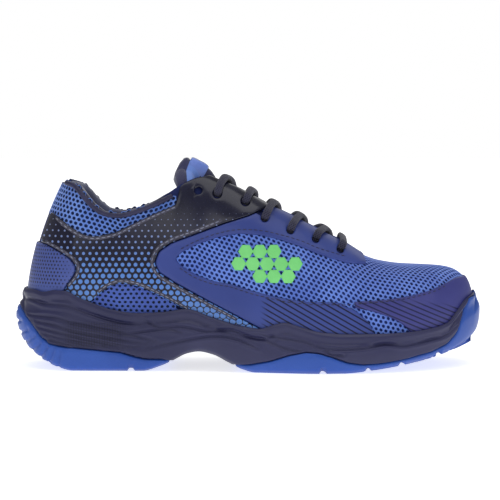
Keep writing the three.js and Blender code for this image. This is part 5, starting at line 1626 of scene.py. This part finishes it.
def sole_net(columns, bottom_rows, span_rows):
    """Rows: flat bottom from the centre out, then a curve through the rings to the inside floor."""
    fine = np.linspace(0, 1, 1601)
    line = sole_rim(-1.0, fine, 0)
    arc = np.concatenate([[0], np.cumsum(np.linalg.norm(np.diff(line, axis=0), axis=1))])
    u = np.interp(np.linspace(0, arc[-1], columns), arc, fine)
    sheets = []
    for side in (-1.0, 1.0):
        def level(inset, height):
            p = sole_rim(side, u, inset)
            return np.concatenate([p, height(p[:, 0])[:, None]], -1)
        r0 = level(5.5, ground_z)
        r1 = level(1.8, lambda x: ground_z(x) + 2.6)
        r2 = level(0.0, lambda x: np.maximum(widest_z(x), ground_z(x) + 6))
        r4 = sole_lip(side, u, CAVITY + LIP)
        r3 = r2 + (r4 - r2) * 0.55
        inner = sole_lip(side, u, CAVITY)
        crest = (r4 + inner) / 2 + [0, 0, 0.7]
        wall = sole_lip(side, u, CAVITY, 4.0)
        foot = off_last(side * station_of(sole_x(u)), 0.0, CAVITY)
        foot[:, 2] = np.minimum(feather_z(sole_x(u)) - GAP, wall[:, 2] - 0.5)
        rings = np.stack([r0, r1, r2, r3, r4, crest, inner, wall, foot])
        curve = smooth_path(rings.reshape(len(rings), -1), span_rows).reshape(-1, len(u), 3)
        x0 = r0[:, 0]
        middle = np.stack([x0, centre(x0), r0[:, 2]], -1)
        share = np.linspace(0, 1, bottom_rows, endpoint=False)[:, None, None]
        bottom = middle + (r0 - middle) * share
        floor_mid = np.stack([foot[:, 0], centre(foot[:, 0]), foot[:, 2]], -1)
        inside = foot + (floor_mid - foot) * np.linspace(0, 1, 9)[1:, None, None]
        sheets.append(np.concatenate([bottom, curve, inside]).transpose(1, 0, 2))
    points = np.stack(sheets)
    points[:, 0] = points[:, 0].mean(0)
    points[:, -1] = points[:, -1].mean(0)
    along = np.gradient(points, axis=1)
    up = np.gradient(points, axis=2)
    normal = unit(np.cross(along, up))
    normal[1] *= -1
    if (normal[0, 100:200, 60, 1]).mean() > 0:
        normal *= -1
    away = from_spine(points)
    turn = np.stack([-away[..., 1], away[..., 0], 0 * away[..., 0]], -1)
    ends = np.clip((np.abs(points[..., :1]) - TIP_START) / TIP_BLEND, 0, 1)
    normal = unit(ends * unit(np.cross(turn, up)) + (1 - ends) * normal)
    for k in (0, -1):
        shared = unit(normal[0, k] + normal[1, k])
        normal[:, k] = shared
    closed = np.zeros(points.shape[1:3], bool)
    closed[:, [0, -1]] = True
    normal[:, :, 0] = [0, 0, -1.0]
    normal[:, :, -1] = [0, 0, 1.0]
    return Net(points, normal, closed, True)


BOTTOM_ROWS, SPAN_ROWS = 42, 12
LIP_ROW = BOTTOM_ROWS + 4 * SPAN_ROWS - 2
sole = sole_net(300, BOTTOM_ROWS, SPAN_ROWS)
foam_net = sole_net(320, 14, 16)
print("net of the sole:", sole.P.shape)

# %% [markdown]
# ## Midsole
# The foam sidewall is sculpted with lines that fan out from the heel and meet under the arch.
# Each line is a valley whose depth falls off with distance, as exp(-(d/w)^2), with a soft
# crest beside it. Where the rubber sits, the foam steps in by the rubber's thickness.

# %% Midsole
SCULPT = [
    [(-137, 34), (-119, 33), (-107, 30), (-82, 25), (-67, 21.4), (-51, 17.3)],
    [(-132, 30.5), (-120, 28.5), (-107, 24.6), (-92, 21.9), (-76, 19.2), (-53, 16.8)],
    [(-131, 27), (-114, 23.2), (-92, 18.4), (-72, 15.6), (-56, 16)],
    [(-128, 23.2), (-107, 18.8), (-84, 15.3), (-73, 13.6)],
    [(-127, 20.2), (-112, 17), (-90, 14.6)],
    [(-67, 33.5), (-56.5, 28), (-41, 28), (-26, 25.4), (-11, 26.4), (2, 22), (17, 20)],
    [(-80, 22.6), (-61, 25.4), (-49, 26.6), (-41, 24)],
    [(-72, 12.8), (-51, 17.3), (-36, 20.4), (-21, 22.4), (-8, 21), (6, 15)],
    [(3.7, 24.5), (17, 22.4), (32.5, 20.3), (45, 16.4), (55, 15.6), (71, 16.2), (83, 18.2), (96, 16.8),
     (112, 19.4), (123, 21.6), (130, 27)],
    [(46, 16), (50, 12.5), (58, 11.8)],
    [(4, 23), (24, 15.4), (32, 14.4)],
    [(-138, 44), (-126, 41.5), (-112, 40.5), (-96, 35), (-80, 30.5), (-67, 29)],
]
HEEL_RUBBER = [(-146, 40), (-136.6, 29.8), (-130, 21.6), (-124, 17), (-117.6, 15.5), (-101.8, 14),
               (-79.6, 12),
               (-70, 8.9), (-63.7, 7.6), (-54, 7.4), (-46, 5.5)]
FORE_RUBBER = [(-10, 4.2), (-0.3, 5), (12.4, 7.6), (25, 12), (34.5, 14), (42.8, 13.3), (50.4, 10.8), (60, 7),
               (69.4, 5.5), (82, 6), (94.8, 7.8), (113.8, 12), (123.3, 15.9), (129.7, 22),
               (132.8, 29.8),
               (136, 37.5), (139, 44)]
heel_rubber_area = knife([(AFT, 42), *HEEL_RUBBER, (-43, BELOW), (AFT, BELOW)], radius=0.8)
fore_rubber_area = knife([(-13, BELOW), *FORE_RUBBER, (142, 48), (FORE, 52), (FORE, BELOW)], radius=0.8)
rubber_area = either(heel_rubber_area, fore_rubber_area)


def line_distance(p, lines):
    """Distance in side view to the nearest of some open lines, and the share run along it."""
    best = np.full(p.shape[:-1], 99.0)
    for line in lines:
        run = even(smooth_path(line, 6), 2.0)
        a, d = run[:-1], np.diff(run, axis=0)
        r = p[..., None, :][..., [0, 2]] - a
        t = np.clip((r * d).sum(-1) / (d * d).sum(-1), 0, 1)
        away = np.sqrt(((r - t[..., None] * d) ** 2).sum(-1))
        share = (np.arange(len(a)) + t) / len(a)
        taper = 3.0 * np.clip(np.abs(share - 0.5) * 2 - 0.75, 0, 1)
        best = np.minimum(best, (away + taper).min(-1))
    return best


def midsole_relief(p, n):
    """Valleys of the sculpture, a bead under the lip, and the step that holds the rubber."""
    wall = smoothstep(np.abs(n[..., 1]) + np.clip(-n[..., 0], 0, 1) + np.clip(n[..., 0], 0, 1), 0.45, 0.75)
    away = line_distance(p, SCULPT)
    valley = -1.1 * np.exp(-(away / 0.7) ** 2) + 0.4 * np.exp(-((away - 2.0) / 0.9) ** 2)
    below = sole_top_z(p[..., 0]) - p[..., 2]
    lip = 0.55 * np.exp(-((below - 1.6) / 1.5) ** 2) - 0.9 * np.exp(-((below - 5.4) / 1.3) ** 2)
    shape = (valley + lip) * wall
    facing = (n[..., :2] * unit(from_spine(p))).sum(-1) - n[..., 2]
    sink = smoothstep(rubber_area(p), -0.5, 0.7) * smoothstep(facing, -0.2, 0.4)
    return shape * (1 - sink) - (RUBBER + GAP) * sink


def closed_skin(name, net, relief, finishes):
    n = net.same()
    quads = [np.stack([k[:-1, :-1], k[1:, :-1], k[1:, 1:], k[:-1, 1:]], -1).reshape(-1, 4) for k in n]
    normal = unit(net.N)
    points = (net.P + normal * relief(net.P, normal)[..., None]).reshape(-1, 3)
    faces = np.concatenate([quads[0], quads[1][:, ::-1]])
    points, faces = drop_unused(points, faces)
    return face_out(piece(name, points, faces, finishes, join=False))


DIMPLE_PITCH = 0.0016


def midsole_finish():
    """Moulded foam with a satin skin, flow marks, and a fine grid of dimples behind the heel."""
    mix = Mix("midsole_foam")
    cloud = mix.noise(12, 4)
    flow = mix.noise(60, 3, stretch=(0.4, 1, 3))
    tilted = mix.plus(mix.z, mix.times(mix.x, 0.2))
    grid = mix.math("MAXIMUM", mix.math("PINGPONG", mix.math("DIVIDE", mix.x, DIMPLE_PITCH), 0.5),
                    mix.math("PINGPONG", mix.math("DIVIDE", tilted, DIMPLE_PITCH), 0.5))
    patch_x = mix.times(mix.ramp(mix.x, -0.116, -0.108), mix.ramp(mix.x, -0.072, -0.084))
    patch_z = mix.times(mix.ramp(mix.z, 0.032, 0.029), mix.ramp(mix.z, 0.014, 0.017))
    dimple = mix.times(mix.ramp(grid, 0.30, 0.42), mix.times(patch_x, patch_z))
    fine = mix.noise(1500, 2)
    ground = mix.blend(mix.ramp(cloud, 0.3, 0.7), (0.022, 0.023, 0.072), (0.034, 0.035, 0.098))
    lift = mix.less(mix.plus(mix.times(fine, 0.12), mix.times(flow, 0.25)), dimple)
    return mix.done(mix.blend(mix.times(dimple, 0.6), ground, (0.006, 0.006, 0.02)),
                    mix.ramp(flow, 0.3, 0.7, 0.36, 0.50), mix.bump(lift, 0.5, 0.00035), Coat_Weight=0.05,
                    Coat_Roughness=0.3)


MIDSOLE = midsole_finish()
midsole = closed_skin("midsole_sculpted", foam_net, midsole_relief, [MIDSOLE])
dress(midsole, "midsole_navy", "midsole")

# %% [markdown]
# ## Outsole rubber
# The rubber is cut from the sole's net and given its own thickness. Its ground side has a
# herringbone of channels, deep flex grooves where the foot bends, and short curved grooves
# that roll up round the heel.

# %% Outsole


def rubber_relief(p):
    """Channels where a zigzag of lines runs, flex grooves across, and arcs round the heel."""
    x, y, z = p[..., 0], p[..., 1], p[..., 2]
    ground = z - ground_z(x)
    zigzag = np.abs(((x / 13.0) % 1) - 0.5) * 13.0
    lane = np.abs((((y + zigzag) / 7.0) % 1) - 0.5) * 7.0
    edge = np.minimum(sole_lateral(x), sole_medial(x)) - np.abs(y - centre(x))
    near_ground = smoothstep(2.0 - ground, 0, 1.5)
    tread = -1.1 * smoothstep(1.7 - lane, 0, 1.0) * smoothstep(edge, 7.5, 9.5) * near_ground
    lift = tread
    for at in FLEX_GROOVES:
        gap = GROOVE_WIDTH / 2 - np.abs(x - at)
        lift = np.minimum(lift,
                          -GROOVE_DEPTH * smoothstep(gap, -0.4, 0.5) * smoothstep(4.2 - ground, 0, 1.2))
    turn = np.degrees(np.arctan2(z - 34, -(x + 108)))
    out = np.hypot(x + 108, z - 34)
    arcs = np.abs((((turn + 0.25 * (out - 30)) / 11.0) % 1) - 0.5) * 11.0 * 0.6
    ring = smoothstep(x, -112, -118) * smoothstep(ground, 14, 11) * smoothstep(ground, -0.5, 0.6)
    return np.minimum(lift, -1.2 * smoothstep(1.5 - arcs, 0, 1.0) * ring)


RUBBER_BLUE = plain("outsole_rubber", (0.018, 0.072, 0.36), (0.028, 0.095, 0.43), (0.32, 0.45), 20, 1100,
                    0.00012, 0.45, Coat_Weight=0.1, Coat_Roughness=0.35)
heel_rubber = cut("heel_rubber_tread", heel_rubber_area, -RUBBER, 0.0, [RUBBER_BLUE], net=sole, edge=1.0,
                  inset=0.1, relief=rubber_relief, row_end=LIP_ROW)
dress(face_out(heel_rubber), "rubber_blue", "outsole_heel")
fore_rubber = cut("forefoot_rubber_tread", fore_rubber_area, -RUBBER, 0.0, [RUBBER_BLUE], net=sole, edge=1.0,
                  inset=0.1, relief=rubber_relief, row_end=LIP_ROW)
dress(face_out(fore_rubber), "rubber_blue", "outsole_forefoot")

# %% [markdown]
# ## Edge bands, piping and stitches
# On the real shoe each coated edge is folded and sewn. A flat band runs just inside the edge
# of the strap, a round cord hides the cut edge of the collar mesh, and rows of stitches hold
# the saddle and the cap. A band or a cord is an oval carried along the edge; a stitch is one
# small capsule, repeated at an even pitch. Geometry is right here, because the stitches stand
# proud and catch the light.

# %% Edge trims
EDGE_BAND = plain("edge_band_grey", (0.045, 0.045, 0.075), (0.075, 0.072, 0.105), (0.45, 0.6), 60, 2000,
                  0.0001, 0.5)
STITCH_GAP, STITCH_HALF, STITCH_THICK = 3.3, 1.15, 0.6
BAND_WIDTH, BAND_THICK = 2.0, 0.55


def laid(line, sign, height, shift=0.0, step=1.0):
    """A line of the side view laid on the last: its places, and the ways across, up and ahead."""
    line = even(smooth_path(line, 8), step)
    run = unit(np.gradient(line, axis=0))
    line = line + np.stack([-run[:, 1], run[:, 0]], -1) * shift
    u, v = on_side(line[:, 0], line[:, 1])
    path = off_last(sign * u, v, height)
    up = outward(sign * u, v)
    ahead = unit(np.gradient(path, axis=0))
    return path, unit(np.cross(up, ahead)), up, ahead


def joined(parts):
    """Several closed shells as one list of points and faces."""
    starts = np.cumsum([0] + [len(p) for p, _ in parts[:-1]])
    return np.concatenate([p for p, _ in parts]), np.concatenate([f + k for (_, f), k in zip(parts, starts)])


def band(line, sign, height, shift, width, thick):
    path, across, up, _ = laid(line, sign, height, shift)
    return carry(oval(width, thick, 10), path, across, up)


def stitch_row(line, sign, height, shift):
    """Capsules end to end along a line: the section shrinks as sqrt(1 - 0.85 (s/half)^2)."""
    place = laid(line, sign, height, shift, STITCH_GAP / 2)
    path, across, up, ahead = (a[1:-1:2, None] for a in place)
    s = np.linspace(-1, 1, 7) * STITCH_HALF
    straight = np.stack([s, 0 * s, 0 * s], -1)
    side = np.broadcast_to([0, 1.0, 0], straight.shape)
    rise = np.broadcast_to([0, 0, 1.0], straight.shape)
    one, faces = carry(oval(STITCH_THICK, STITCH_THICK, 8), straight, side, rise)
    small = np.sqrt(1 - 0.85 * (one[:, 0] / STITCH_HALF) ** 2)
    points = (path + one[None, :, :1] * ahead + (one[:, 1] * small)[None, :, None] * across
              + (one[:, 2] * small)[None, :, None] * up)
    number = np.arange(len(points))[:, None, None] * len(one)
    return points.reshape(-1, 3), (faces[None] + number).reshape(-1, 4)


STRAP_TOP = [(-118, 95.4), *MESH_FOOT[2:]]
STRAP_FRONT = SADDLE_REAR[1:-2]
SEWN = [(STRAP_TOP, -1.7), (HEEL_EDGE[1:-1], 1.7), (STRAP_FRONT, 1.7), (WINDOW_TOP[1:], 1.7)]
for sign, word in ((-1.0, "lateral"), (1.0, "medial")):
    bands = [band(line, sign, OVER_HIGH + 0.05, shift, BAND_WIDTH, BAND_THICK) for line, shift in SEWN]
    dress(face_out(piece(f"edge_band_{word}", *joined(bands), [EDGE_BAND], join=False)), None)
    rows = [stitch_row(line, sign, OVER_HIGH + 0.3, shift) for line, shift in SEWN]
    dress(face_out(piece(f"edge_stitches_{word}", *joined(rows), [STITCH], join=False)), None)
    dark = [stitch_row(VENT_TOP[1:-1], sign, OVER_HIGH, 1.9),
            stitch_row(VENT_FOOT[::-1], sign, OVER_HIGH, -1.9),
            stitch_row(CAP_TOP[:-1], sign, OVER_HIGH, -1.9)]
    dress(face_out(piece(f"panel_stitches_{word}", *joined(dark), [PIPING], join=False)), None)
    cord = band([*MESH_TOP[1:]], sign, OVER_HIGH + 0.2, 0.9, 3.0, 2.4)
    dress(face_out(piece(f"collar_piping_{word}", *cord, [PIPING], join=False)), None)

# %% [markdown]
# ## Hidden parts that stay as they are
# The cushions, the arch plate and the lasting board keep their CAD shape, because it is
# already right. They only need a finish, in case a section or another view shows them.

# %% Finishes of the hidden parts
FOAM = plain("cushion_foam", (0.30, 0.34, 0.45), (0.36, 0.40, 0.50), (0.8, 0.95), 40, 1800, 0.0003, 0.7)
BOARD_FIBRE = plain("lasting_fibre", (0.50, 0.47, 0.40), (0.60, 0.56, 0.48), (0.85, 0.95), 60, 1500,
                    0.0003, 0.8,
                    stretch=(1, 0.2, 1))
ARCH_PLATE = plain("arch_plate", (0.015, 0.016, 0.02), (0.03, 0.032, 0.04), (0.25, 0.4), 50, 1500,
                   0.0001, 0.5)
for node, finish in (("heel_cushion", FOAM), ("forefoot_cushion", FOAM), ("shank_plate", ARCH_PLATE),
                     ("lasting_board", BOARD_FIBRE)):
    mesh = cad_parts[node].data
    mesh.materials.clear()
    mesh.materials.append(finish)

# %% [markdown]
# ## Floor
# The shoe stands on a large plain pale floor whose painted glow grows with distance, so it fades into the
# background.

# %% Floor
FLOOR_HALF = 12


def floor_finish():
    """Matt white paper that glows a little, and more with distance, so it fades into the room."""
    mix = Mix("floor_white")
    cloud = mix.noise(3, 4)
    mix.wire(mix.ramp(mix.y, 0.12, 0.7, 0.70, 1.0), mix.shader.inputs["Emission Strength"])
    return mix.done(mix.blend(cloud, (0.80, 0.80, 0.81), (0.84, 0.84, 0.84)),
                    mix.ramp(cloud, 0.3, 0.7, 0.75, 0.85),
                    mix.bump(mix.noise(200, 3), 0.2, 0.0001), Specular_IOR_Level=0.1,
                    Emission_Color=(1, 1, 1, 1))


ground = bpy.data.meshes.new("floor")
ground.from_pydata([(-FLOOR_HALF, -FLOOR_HALF, 0), (FLOOR_HALF, -FLOOR_HALF, 0), (FLOOR_HALF, FLOOR_HALF, 0),
                    (-FLOOR_HALF, FLOOR_HALF, 0)], [], [(0, 1, 2, 3)])
ground.materials.append(floor_finish())
floor = bpy.data.objects.new("floor", ground)
bpy.context.scene.collection.objects.link(floor)
